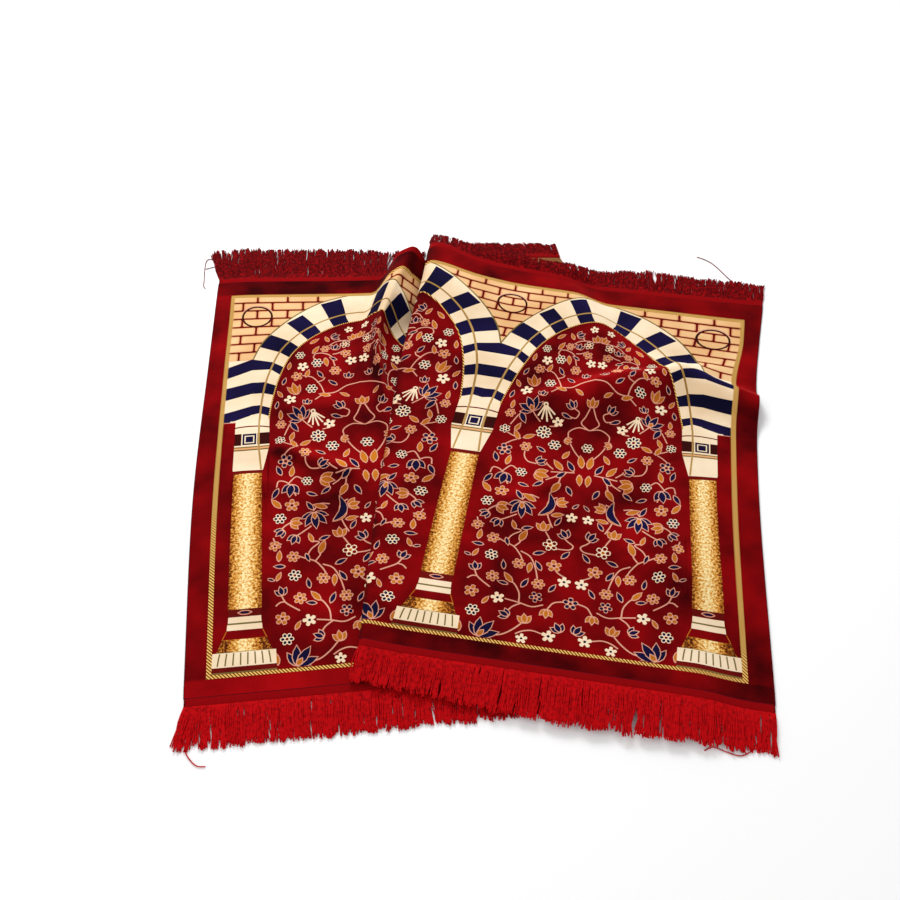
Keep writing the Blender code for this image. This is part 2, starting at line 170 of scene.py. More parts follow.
SECTION = table(
    ("name", "layer", "cloth", "place", "height", "slide"),
    ("left edge", "lower", 0.0, (0.005, -0.009, -0.001, 0.003, 0.006), REST, 0.0),
    ("left frame", "lower", 0.070, (0.074, 0.064, 0.066, 0.070, 0.070), REST, 0.0),
    ("ridge foot", "lower", (0.34, 0.34, 0.323, 0.357, 0.396), (0.340, 0.332, 0.301, 0.346, 0.387),
     (REST, REST, 0.002, 0.003, 0.004), RIDGE_SLIDE),
    ("ridge left", "lower", (0.37, 0.37, 0.379, 0.432, 0.483), (0.370, 0.364, 0.356, 0.397, 0.445),
     (REST, REST, 0.0156, 0.0535, 0.0765), RIDGE_SLIDE),
    ("ridge crest", "lower", (0.40, 0.40, 0.412, 0.468, 0.502),
     (0.400, 0.396, 0.375, 0.4205, 0.467), (REST, REST, 0.039, 0.072, 0.085), RIDGE_SLIDE),
    ("ridge right", "lower", (0.43, 0.43, 0.437, 0.484, 0.563), (0.430, 0.428, 0.383, 0.431, 0.503),
     (REST, REST, 0.0165, 0.066, 0.036), RIDGE_SLIDE),
    ("valley", "lower", (0.47, 0.47, 0.490, 0.600, 0.612), (0.470, 0.470, 0.422, 0.510, 0.535),
     (REST, REST, 0.002, 0.003, 0.004), RIDGE_SLIDE),
    ("first fold low", "lower", (0.865, 0.893, 0.926, 0.952, 0.920), FIRST_FOLD, REST, 0.0),
    ("first fold nose", "lower", (0.872, 0.900, 0.933, 0.959, 0.927),
     (0.8705, 0.8985, 0.8915, 0.8655, 0.8375), (0.0063, 0.0063, 0.0063, 0.0075, 0.009), 0.0),
    ("first fold high", "lower", (0.879, 0.907, 0.940, 0.966, 0.934), FIRST_FOLD,
     (0.011, 0.011, 0.011, 0.013, 0.016), -0.002),
    ("middle right", "middle", (1.02, 1.03, 1.04, 1.06, 1.03), 0.25,
     (0.0105, 0.0105, 0.014, 0.018, 0.019), 0.0),
    ("middle", "middle", (1.17, 1.16, 1.14, 1.15, 1.12), 0.50,
     (0.0105, 0.0105, 0.014, 0.012, 0.010), 0.0),
    ("middle left", "middle", (1.32, 1.29, 1.26, 1.26, 1.24), 0.75,
     (0.0105, 0.0105, 0.016, 0.022, 0.022), 0.0),
    ("second fold low", "upper", (1.470, 1.420, 1.363, 1.345, 1.340),
     (1.488, 1.447, 1.431, 1.438, 1.436), (0.011, 0.011, 0.024, 0.036, 0.034), TURN_SLIDE),
    ("second fold nose", "upper", (1.480, 1.430, 1.377, 1.363, 1.360),
     (1.480, 1.438, 1.419, 1.423, 1.418), (0.0165, 0.0175, 0.034, 0.050, 0.050), TURN_SLIDE),
    ("second fold high", "upper", (1.490, 1.442, 1.395, 1.385, 1.382),
     (1.488, 1.448, 1.434, 1.440, 1.438), (0.0225, 0.024, 0.044, 0.064, 0.064), TURN_SLIDE),
    ("loose back", "upper", (1.560, 1.552, 1.515, 1.500, 1.500),
     (1.560, 1.560, 1.550, 1.550, 1.550), (0.0175, 0.019, 0.034, 0.048, 0.046),
     (0.0, 0.0, -0.005, -0.025, -0.060)),
    ("second post", "upper", (1.645, 1.640, 1.605, 1.593, 1.593),
     (1.645, 1.648, 1.645, 1.645, 1.645), (0.0165, 0.0175, 0.026, 0.036, 0.038),
     (0.0, 0.0, -0.005, -0.030, -0.067)),
    ("drop start", "upper", (2.060, 1.972, 1.870, 1.776, 1.712),
     (2.062, 1.972, 1.875, 1.806, 1.747), (0.0165, 0.0165, 0.022, 0.034, 0.030),
     (0.0, 0.0, -0.010, -0.032, -0.070)),
    ("drop end", "upper", (2.140, 2.060, 1.975, 1.905, 1.843), (2.143, 2.055, 1.971, 1.905, 1.843),
     (0.003, 0.003, 0.003, 0.003, 0.004), (0.0, 0.018, -0.012, -0.032, -0.066)),
    ("right frame", "upper", (2.160, 2.115, 2.115, 2.115, 2.115),
     (2.165, 2.107, 2.110, 2.137, 2.141), REST, (0.0, 0.024, -0.020, -0.041, -0.060)),
    ("right edge", "upper", CLOTH_WIDTH,
     (CLOTH_WIDTH + 0.010, CLOTH_WIDTH, CLOTH_WIDTH + 0.006, CLOTH_WIDTH + 0.018, CLOTH_WIDTH + 0.032),
     REST, (0.0, 0.024, -0.022, -0.043, -0.057)))
FOLD_OUT = "first fold high"
FOLD_IN = "second fold low"

# The turned-back layer is pulled forward a little: distance from the front edge, and how far.
DRIFT = np.array(((0.0, 0.0), (0.16, -0.010), (0.45, -0.030), (0.62, -0.035), (0.80, -0.033),
                  (0.96, -0.028), (CLOTH_DEPTH, 0.0)))

CREASES = table(
    ("name", "start", "end", "height", "reach_front", "reach_back"),
    ("cross ridge left", (1.720, 0.655), (1.860, 0.719), 0.016, 0.060, 0.035),
    ("cross ridge middle", (1.860, 0.719), (2.045, 0.808), 0.027, 0.075, 0.034),
    ("cross ridge right", (2.045, 0.804), (2.260, 0.700), 0.029, 0.070, 0.034),
    ("lower back crease", (0.180, 0.645), (0.295, 0.650), 0.006, 0.030, 0.032),
    ("lower slant crease", (0.175, 0.535), (0.305, 0.470), 0.009, 0.024, 0.026),
    ("lower front crease", (0.090, 0.468), (0.200, 0.425), 0.004, 0.028, 0.028),
    ("upper slant crease", (1.810, 0.357), (2.060, 0.224), 0.007, 0.045, 0.065),
    ("upper small crease", (1.680, 0.357), (1.775, 0.432), 0.005, 0.025, 0.028))
CREASE_FALL = 1.5      # how fast a crease sinks to the cloth beside it
CREASE_JOIN = 4
print("flat cloth:", round(CLOTH_WIDTH, 3), "by", CLOTH_DEPTH, "m,", len(SECTION), "bends")


# %% curves through the table
def curve_slopes(at, value):
    """Slopes of a curve that never overshoots its points, which run down the first axis."""
    step = np.diff(at, axis=0)
    rise = np.diff(value, axis=0) / step
    slope = np.zeros_like(value)
    near = 2 * step[1:] + step[:-1]
    far = step[1:] + 2 * step[:-1]
    one_way = rise[1:] * rise[:-1] > 0
    before = np.where(one_way, rise[:-1], 1.0)
    after = np.where(one_way, rise[1:], 1.0)
    slope[1:-1] = np.where(one_way, (near + far) / (near / before + far / after), 0.0)
    slope[0] = rise[0]
    slope[-1] = rise[-1]
    return slope


def curve_value(at, value, where):
    """Value at each `where` of the smooth curve through its own column of `at` and `value`."""
    slope = curve_slopes(at, value)
    low = np.clip((at[1:-1] <= where).sum(axis=0), 0, at.shape[0] - 2)
    column = np.arange(where.size)
    start = at[low, column]
    step = at[low + 1, column] - start
    t = (where - start) / step
    rising = t * t * (3 - 2 * t)
    from_low = value[low, column] * (1 - rising) + step * slope[low, column] * t * (1 - t) ** 2
    from_high = value[low + 1, column] * rising - step * slope[low + 1, column] * t * t * (1 - t)
    return from_low + from_high


def along_depth(distances, values, v):
    """Value at each distance v from the front edge of the curve through a few values."""
    entry = np.broadcast_to(np.asarray(values, dtype=float), (len(distances),))
    at = np.repeat(np.array(distances)[:, None], v.size, axis=1)
    value = np.repeat(entry[:, None], v.size, axis=1)
    return curve_value(at, value, np.clip(v, 0.0, CLOTH_DEPTH))


def layer_plan(corner, lean, across, back):
    """Plan place on a flat layer, from its corner and its lean."""
    x = corner[0] + across * math.cos(lean) + back * math.sin(lean)
    y = corner[1] - across * math.sin(lean) + back * math.cos(lean)
    return x, y


def section_table(v):
    """The rows of the section at each v: their cloth distance, x, y and height."""
    cloth = []
    x_rows = []
    y_rows = []
    heights = []
    drift = along_depth(DRIFT[:, 0], DRIFT[:, 1], v)
    for row in SECTION:
        place = along_depth(STATIONS, row["place"], v)
        back = v + along_depth(STATIONS, row["slide"], v)
        if row["layer"] == "lower":
            x, y = layer_plan(LOWER_CORNER, LOWER_LEAN, place, back)
        elif row["layer"] == "upper":
            x, y = layer_plan(UPPER_CORNER, UPPER_LEAN, place, back + drift)
        else:
            x = place
            y = place
        cloth.append(along_depth(STATIONS, row["cloth"], v))
        x_rows.append(x)
        y_rows.append(y)
        heights.append(along_depth(STATIONS, row["height"], v))
    names = [row["name"] for row in SECTION]
    out = names.index(FOLD_OUT)
    back_in = names.index(FOLD_IN)
    for middle in range(out + 1, back_in):
        share = x_rows[middle]
        x_rows[middle] = x_rows[out] * (1 - share) + x_rows[back_in] * share
        y_rows[middle] = y_rows[out] * (1 - share) + y_rows[back_in] * share
    return np.array(cloth), np.array(x_rows), np.array(y_rows), np.array(heights)


def crease_height(u, v):
    """How far the soft ridges lift each place of the cloth, without adding where two meet."""
    lift = np.zeros_like(u)
    for crease in CREASES:
        u_start, v_start = crease["start"]
        u_end, v_end = crease["end"]
        length = math.hypot(u_end - u_start, v_end - v_start)
        along_u = (u_end - u_start) / length
        along_v = (v_end - v_start) / length
        along = (u - u_start) * along_u + (v - v_start) * along_v
        off = (v - v_start) * along_u - (u - u_start) * along_v
        reach = np.where(off > 0, crease["reach_back"], crease["reach_front"])
        past_end = np.maximum(np.maximum(-along, along - length), 0.0) / crease["reach_front"]
        fall = (off / reach) ** 2 + past_end ** 2
        ridge = crease["height"] * np.exp(-CREASE_FALL * fall)
        lift += ridge ** CREASE_JOIN
    return lift ** (1 / CREASE_JOIN)


def cloth_point(u, v):
    """Point in the middle of the cloth's thickness for each cloth place."""
    cloth, x_rows, y_rows, heights = section_table(v)
    across = np.clip(u, cloth[0], cloth[-1])
    x = curve_value(cloth, x_rows, across)
    y = curve_value(cloth, y_rows, across)
    z = curve_value(cloth, heights, across) + crease_height(u, v)
    return np.stack([x, y, z], axis=-1)


NORMAL_STEP = 0.0015


def unit(vectors):
    """The same directions, each of length 1."""
    return vectors / np.linalg.norm(vectors, axis=1, keepdims=True)


def cloth_normal(u, v):
    """Direction in which the pile stands at each cloth place."""
    left = np.maximum(u - NORMAL_STEP, 0.0)
    right = np.minimum(u + NORMAL_STEP, CLOTH_WIDTH)
    near = np.maximum(v - NORMAL_STEP, 0.0)
    far = np.minimum(v + NORMAL_STEP, CLOTH_DEPTH)
    across = cloth_point(right, v) - cloth_point(left, v)
    back = cloth_point(u, far) - cloth_point(u, near)
    return unit(np.cross(across, back))


corner = cloth_point(np.array([CLOTH_WIDTH]), np.array([0.0]))[0]
print("front right corner lies at", np.round(corner, 3))

# %% [markdown]
# ## The pattern is cut into the mesh
#
# On the real rug each tuft of pile has one colour, so the borders between colours are sharp and
# stay sharp close up. A painted colour per vertex would blur them. Here every flower, leaf, brick
# and stripe is a flat outline in millimetres, laid over the ones before it like cut paper. A
# constrained triangulation then cuts the cloth along all outlines at once, and every triangle
# takes the colour that was laid last over it.

# %% outlines, strokes and charts
EDGE = 247.75          # from an arch's axis to its column's axis, half of ARCH_PITCH
DEPTH = 1076.0
MARGIN = 102.0         # from the outer column's axis to the cloth's side edge
PAST = EDGE + 6.0      # outlines run on past the column's axis to here
OVER = 5.0             # and this far past the other sides, so that no sliver is left
COLOURS = ("red", "cream", "navy", "block", "mortar", "brick", "ring", "middle", "ochre", "pink",
           "shaft", "brown", "frame")


class Chart:
    """Flat outlines in millimetres, each with a colour, laid one over another."""

    def __init__(self):
        self.points = []
        self.shapes = []

    def lay(self, colour, outline, within=None):
        """Lay an outline, and return its number. `within` is the number of one that masks it."""
        outline = np.asarray(outline, dtype=float)
        x, v = outline.T
        if np.sum(x * np.roll(v, -1) - np.roll(x, -1) * v) < 0:
            outline = outline[::-1]
        first = len(self.points)
        self.points.extend(tuple(point) for point in outline)
        self.shapes.append((colour, range(first, first + len(outline)), within))
        return len(self.shapes) - 1


def smooth(points, per_span=4):
    """A smooth line through a few points."""
    points = np.asarray(points, dtype=float)
    padded = np.vstack([2 * points[0] - points[1], points, 2 * points[-1] - points[-2]])
    line = []
    for a, b, c, d in zip(padded, padded[1:], padded[2:], padded[3:]):
        for t in np.arange(per_span) / per_span:
            line.append(0.5 * (2 * b + (c - a) * t + (2 * a - 5 * b + 4 * c - d) * t ** 2
                               + (3 * b - a - 3 * c + d) * t ** 3))
    line.append(points[-1])
    return np.array(line)


def stroke(line, width):
    """The outline of a line drawn with a flat pen."""
    run = np.gradient(line, axis=0)
    side = unit(np.stack([-run[:, 1], run[:, 0]], axis=1)) * width / 2
    return np.concatenate([line + side, (line - side)[::-1]])


def box(left, low, right, high):
    return [(left, low), (right, low), (right, high), (left, high)]


def pillow(left, low, right, high, cut):
    """A box with its corners cut off."""
    return [(left + cut, low), (right - cut, low), (right, low + cut), (right, high - cut),
            (right - cut, high), (left + cut, high), (left, high - cut), (left, low + cut)]


def placed(outline, x, v, size, turn):
    """A unit outline made to its size, turned and moved."""
    angle = math.radians(turn)
    a, b = np.asarray(outline, dtype=float).T * size
    return np.stack([x + a * math.cos(angle) - b * math.sin(angle),
                     v + a * math.sin(angle) + b * math.cos(angle)], axis=1)


print("colours of pile:", len(COLOURS))

# %% [markdown]
# ## Arches, columns and bricks
#
# One half of an arch is drawn, from its axis to the axis of its column. The other half is its
# mirror image, and four arches stand in a row, so the whole rug repeats this half eight times.
# Distances are x from the arch's axis and v from the front edge, in millimetres.

# %% arch profiles
FRAME_LOW = (31.5, 38.5)
FRAME_HIGH = (1018.5, 1028.0)
FRAME_SIDE = 61.0
FRAME_WIDTH = 9.0
LINE_WIDTH = 3.4
MIDDLE_WIDTH = 4.6
ARCH_FOOT = 806.0      # the brickwork beside each arch ends here
BAND_FOOT = 540.0      # and the striped band here
ARCH_INNER = ((207, 540), (206, 620), (201, 662), (194, 702), (183, 746), (163, 800), (140, 838),
              (109, 873), (76, 899), (40, 917), (0, 925))
ARCH_MIDDLE = ((229, 534), (227.5, 610), (224.5, 662), (217, 724), (202, 780), (181, 834),
               (150, 880), (117, 913), (81, 937), (40, 953), (0, 958))
ARCH_OUTER = ((248, 806), (231, 855), (212, 888), (182, 928), (147, 964), (107, 994), (65, 1012),
              (30, 1021), (0, 1024))
# The middle ring runs on down over the capital and spreads at its foot.
CAPITAL_LINE = ((227.5, 626), (228, 585), (227.5, 552), (225, 525), (221.5, 488))
# Both edges of each dark stripe, from the inner ring past the middle ring to the outer one.
STRIPES = table(
    ("high edge", "low edge"),
    (((24, 909), (40, 940), (58, 1008)), ((54, 895), (74, 930), (100, 992))),
    (((88, 876), (112, 910), (147, 951)), ((113, 857), (138, 886), (176, 927))),
    (((134, 829), (166, 858), (213, 883)), ((152, 803), (184, 828), (241, 853))),
    (((170, 772), (201, 793), (254, 806.5)), ((177, 752), (204, 774), (254, 776.5))),
    (((184, 716), (218, 732), (254, 733)), ((191, 694), (221, 704), (254, 704))),
    (((198, 652), (228, 665), (254, 663)), ((202, 633), (228, 645), (254, 640))))
STRIPE_MORE = 0.09
# The lowest three stripes run on past an end column: their edges at its axis and 60 mm outside it.
SIDE_STRIPES = table(
    ("high in", "high out", "low in", "low out"),
    (809.0, 784.5, 774.0, 750.5),
    (735.5, 721.0, 701.5, 685.0),
    (665.0, 647.5, 638.0, 615.5))
SIDE_REACH = 60.0
BRICK_TOP = FRAME_HIGH[0] + 9.0
BRICK_FOOT = 780.0
BRICKS_ACROSS = 5
BRICK_HIGH = 28.0
BRICK_LONG = 69.0
BRICK_GAP = 4.9
BRICK_RIM = (3.0, 2.4)
BRICK_CUT = (2.4, 2.0)     # the cut corners of a brick and of the paler face on it
ROUNDEL = (EDGE, 950.0)
ROUNDEL_STEPS = 11
ROUNDEL_ARCS = table(
    ("colour", "start", "end", "radius", "width"),
    ("pink", 55, 150, 36.0, 7.0),
    ("brown", 90, 270, 34.0, 5.0),
    ("brown", -90, 90, 34.0, 5.0))


def draw_bricks(chart, spandrel):
    """Running bond with a round ring over the column's axis."""
    across, up = BRICK_RIM
    outer_cut, inner_cut = BRICK_CUT
    for row in range(int((FRAME_HIGH[0] - BRICK_FOOT) / BRICK_HIGH) + 1):
        high = BRICK_TOP - row * BRICK_HIGH - BRICK_GAP / 2
        low = high - BRICK_HIGH + BRICK_GAP
        shift = BRICK_LONG / 2 if row % 2 else 0.0
        for brick in range(BRICKS_ACROSS):
            right = EDGE + shift - BRICK_GAP / 2 - brick * BRICK_LONG
            right += BRICK_LONG if row % 2 else 0.0
            left = right - BRICK_LONG + BRICK_GAP
            face = (left + across, low + up, right - across, high - up)
            chart.lay("brick", pillow(left, low, right, high, outer_cut), spandrel)
            chart.lay("block", pillow(*face, inner_cut), spandrel)
    x, v = ROUNDEL
    for arc in ROUNDEL_ARCS:
        angle = np.radians(np.linspace(arc["start"], arc["end"], ROUNDEL_STEPS))
        line = np.stack([x + arc["radius"] * np.cos(angle), v + arc["radius"] * np.sin(angle)], axis=1)
        chart.lay(arc["colour"], stroke(line, arc["width"]), spandrel)


def draw_arch(chart):
    """The spandrel's bricks, the striped band of the arch and its thin rings."""
    inner = smooth(ARCH_INNER, 3)
    top = FRAME_HIGH[0]
    band = chart.lay("cream", np.concatenate(
        [[(-OVER, top), (PAST, top), (PAST, BAND_FOOT)], inner, [(-OVER, inner[-1, 1])]]))
    for stripe in STRIPES:
        high = np.array(stripe["high edge"], dtype=float)
        low = np.array(stripe["low edge"], dtype=float)
        more = (high - low) * STRIPE_MORE
        chart.lay("navy", np.concatenate([low - more, (high + more)[::-1]]), band)
    outer = smooth(ARCH_OUTER, 3)
    spandrel = chart.lay("mortar", np.concatenate(
        [[(PAST, top), (PAST, ARCH_FOOT)], outer, [(-OVER, top)]]), band)
    draw_bricks(chart, spandrel)
    chart.lay("ring", stroke(outer, LINE_WIDTH), band)
    chart.lay("middle", stroke(smooth(ARCH_MIDDLE, 3), MIDDLE_WIDTH), band)
    chart.lay("frame", stroke(inner, LINE_WIDTH))
    return inner


def draw_side(chart):
    """Outside an end column: bricks down to a level line, and stripes that run on and sink."""
    left = EDGE - SIDE_REACH
    chart.lay("cream", box(left - OVER, BAND_FOOT, PAST, FRAME_HIGH[0]))
    draw_bricks(chart, chart.lay("mortar", box(left - OVER, ARCH_FOOT, PAST, FRAME_HIGH[0])))
    for stripe in SIDE_STRIPES:
        low = [(PAST, stripe["low in"]), (EDGE, stripe["low in"]), (left, stripe["low out"])]
        high = [(left, stripe["high out"]), (EDGE, stripe["high in"]), (PAST, stripe["high in"])]
        chart.lay("navy", low + high)


print("dark stripes in half an arch:", len(STRIPES))

# %% [markdown]
# The column stands on a fluted block. Its shaft is mottled gold, with a row of bands at its foot
# and a capital with a small framed square. Each part is symmetric about the column's axis, so a
# row of the table gives its two heights and its half widths there.

# %% column
COLUMN = table(
    ("colour", "low", "high", "half low", "half high"),
    ("mortar", 41.0, 51.0, 57, 58),
    ("ring", 39.0, 41.5, 58, 58),
    ("ring", 78.0, 81.5, 51, 49),
    ("cream", 51.0, 79.0, 57, 56),
    ("shaft", 80.0, 104.0, 49, 40),
    ("ochre", 104.0, 121.5, 40.5, 33),
    ("red", 104.5, 121.5, 38.5, 31.5),
    ("cream", 122.5, 134.0, 32, 31),
    ("ring", 134.0, 137.5, 31, 30),
    ("cream", 137.5, 149.5, 30, 29.5),
    ("mortar", 150.5, 165.5, 29.5, 29.5),
    ("shaft", 165.5, 478.0, 30.5, 28.5),
    ("mortar", 478.0, 487.0, 29, 30),
    ("cream", 487.0, 545.0, 30, 42),
    ("ring", 541.0, 544.5, 41, 42),
    ("brick", 544.5, 552.0, 42, 43),
    ("ring", 549.0, 552.0, 42, 43),
    ("cream", 552.0, 625.0, 43, 42.5),
    ("brown", 556.0, 588.0, 43, 43),
    ("cream", 556.0, 588.0, 17, 17),
    ("navy", 557.0, 587.0, 14.5, 14.5))
# The framed square: its middle, its half width and the width of its frame.
SQUARE = (571.5, 10.5, 2.6)
FLUTES = 4
FLUTE_PITCH = 12.6
FLUTE_WIDTH = 2.6
FLUTE_LEAN = 0.9
FLUTE_LINE = ((0.4, 77.5), (-0.3, 68), (-1.0, 53.5))
# Small lens shapes where the shaft starts and ends, and the arched line on the capital.
LENS_LINE = ((-13, 158), (-6, 161.5), (1, 162), (5, 162))
LENS_MIDDLE = 158.0
LENS_WIDTH = 1.8
LENS_SPOT = (-7, 156, 6, 160)
ARCHED_LINE = ((-44, 602), (-22, 606.5), (6, 608))
ARCHED_WIDTH = 3.4


def draw_column(chart):
    """The left half of the column on the chart's right edge."""
    for part in COLUMN:
        low, high = part["low"], part["high"]
        chart.lay(part["colour"], [(EDGE - part["half low"], low), (PAST, low), (PAST, high),
                                   (EDGE - part["half high"], high)])
    middle, half, width = SQUARE
    chart.lay("cream", box(EDGE - half, middle - half, PAST, middle + half))
    chart.lay("navy", box(EDGE - half + width, middle - half + width, PAST, middle + half - width))
    for flute in range(FLUTES):
        x = EDGE - (flute + 0.5) * FLUTE_PITCH
        lean = flute * FLUTE_LEAN
        line = smooth([(x + lean * share, v) for share, v in FLUTE_LINE], 2)
        chart.lay("ring", stroke(line, FLUTE_WIDTH))
    lens = smooth(np.array(LENS_LINE) + (EDGE, 0), 2)
    chart.lay("pink", stroke(lens, LENS_WIDTH))
    chart.lay("pink", stroke(lens * (1, -1) + (0, 2 * LENS_MIDDLE), LENS_WIDTH))
    left, low, right, high = LENS_SPOT
    chart.lay("navy", box(EDGE + left, low, EDGE + right, high))
    chart.lay("mortar", stroke(smooth(np.array(ARCHED_LINE) + (EDGE, 0), 3), ARCHED_WIDTH))


print("parts of a column:", len(COLUMN), "and", FLUTES, "flutes in its half block")

# %% [markdown]
# ## Flowers, leaves and vines
#
# The field is a scroll of small flowers as woven into many such rugs: roses of five to eight petals,
# white stars, tulips, leaves and a few large blooms, joined by thin pink vines. Each kind is one
# unit outline that points along x. The table then says which kind stands where, how large it is
# and which way it points.

# %% kinds of flower
RIM = 1.7
# Parts of a flower as shares of its size: how far out a petal stands and how large it is, the
# heart of a rose, the two rounds at a fan's foot and the foot of a bloom.
ROSE_PETAL = (0.60, 0.28)
ROSE_HEART = 0.25
FAN_EYE = (0.30, 0.14)
BLOOM_FOOT = 0.9
FAN_FINGERS = (-38, -19, 0, 19, 38)
FAN_LINE = 3.6
PLUME_BEND = 0.24


def petals(count, valley):
    """A round outline with petals, of radius 1 at their tips and `valley` between them."""
    angle = np.arange(count * 4) / (count * 4) * 2 * math.pi
    radius = valley + (1 - valley) * np.abs(np.cos(angle * count / 2)) ** 0.6
    return np.stack([radius * np.cos(angle), radius * np.sin(angle)], axis=1)


def leaf(wide, inset=0.0, bend=0.0):
    """A leaf from 0 to its tip at 1, and `wide` to each side, or the same one inset."""
    half = max(wide - inset, 0.02)
    start = 1.6 * inset
    side = [(0.14, 0.62), (0.40, 1.0), (0.70, 0.76)]
    if bend:
        side = [(0.10, 0.55), (0.25, 0.9), (0.42, 1.0), (0.60, 0.92), (0.76, 0.72), (0.90, 0.4)]
    low = [(t, -share * half) for t, share in side]
    high = [(t, share * half) for t, share in side[::-1]]
    outline = np.array([(0.0, 0.0)] + low + [(1.0, 0.0)] + high)
    outline[:, 0] = start + outline[:, 0] * (1 - 2 * start)
    outline[:, 1] += bend * np.sin(math.pi * outline[:, 0])
    return outline


CELL = np.array([(-1.0, 0.0), (-0.5, -0.66), (0.45, -0.72), (1.0, 0.0), (0.45, 0.72), (-0.5, 0.66)])
CORE = petals(3, 0.85)[::2]
# Leaves that make up each bloom: colour, turn from the bloom's own direction, length, half width.
BLOOMS = {
    "navy leaf": (("navy", 0, 2.3, 0.215),),
    "ochre leaf": (("ochre", 0, 2.3, 0.215),),
    "navy tulip": (("navy", -36, 1.6, 0.28), ("navy", 36, 1.6, 0.28), ("navy", 0, 1.75, 0.26)),
    "ochre tulip": (("ochre", -36, 1.6, 0.28), ("ochre", 36, 1.6, 0.28), ("ochre", 0, 1.7, 0.26)),
    "lotus": (("navy", -66, 1.35, 0.22), ("navy", 66, 1.35, 0.22), ("navy", -34, 1.7, 0.21),
              ("navy", 34, 1.7, 0.21), ("navy", 0, 1.85, 0.20), ("ochre", 0, 0.8, 0.30)),
    "drop": (("ochre", -28, 1.8, 0.20), ("ochre", 28, 1.6, 0.20), ("ochre", 0, 2.0, 0.19)),
    "plume": (("ochre", 24, 1.5, 0.09), ("navy", 4, 2.0, 0.135)),
}
# Roses and stars: rim, petal colour, heart, number of petals and how deep they are parted.
ROSES = {
    "dark rose": ("cream", "navy", "red", 6, 0.66),
    "gold rose": ("pink", "ochre", "mortar", 6, 0.66),
    "large rose": ("cream", "navy", "red", 8, 0.72),
    "pale rose": ("cream", "red", "ochre", 5, 0.60),
    "ochre rose": ("pink", "ochre", "mortar", 5, 0.58),
    "navy star": ("pink", "navy", "mortar", 5, 0.52),
    "white star": ("cream", None, "navy", 5, 0.46),
}


def draw_motif(chart, field, kind, x, v, size, turn):
    """Lay one flower or leaf inside the field."""
    def lay(colour, outline, length, way=0.0, foot=(x, v)):
        chart.lay(colour, placed(outline, *foot, length, turn + way), field)

    def spot(reach, way):
        angle = math.radians(turn + way)
        return x + reach * math.cos(angle), v + reach * math.sin(angle)

    if kind in ROSES:
        rim, petal_colour, heart, count, valley = ROSES[kind]
        lay(rim, petals(count, valley), size)
        reach, petal_size = ROSE_PETAL
        for petal in range(count if petal_colour else 0):
            way = petal * 360 / count
            lay(petal_colour, CELL * (1, 6 / count), size * petal_size, way, spot(size * reach, way))
        lay(heart, CORE, size * ROSE_HEART)
    elif kind == "fan":
        lay("cream", petals(3, 0.9), size * FAN_EYE[0])
        for finger in FAN_FINGERS:
            line = np.array([(x, v), spot(size * (2.0 - 0.012 * abs(finger)), finger)])
            chart.lay("cream", stroke(line, FAN_LINE), field)
        lay("red", CORE, size * FAN_EYE[1])
    else:
        foot = spot(-BLOOM_FOOT * size, 0.0)
        bend = PLUME_BEND if kind == "plume" else 0.0
        for colour, off, length, wide in BLOOMS[kind]:
            length *= size
            lay("pink", leaf(wide, 0.0, bend), length, off, foot)
            lay(colour, leaf(wide, RIM / length, bend), length, off, foot)


print("kinds of flower:", len(BLOOMS) + len(ROSES) + 1)


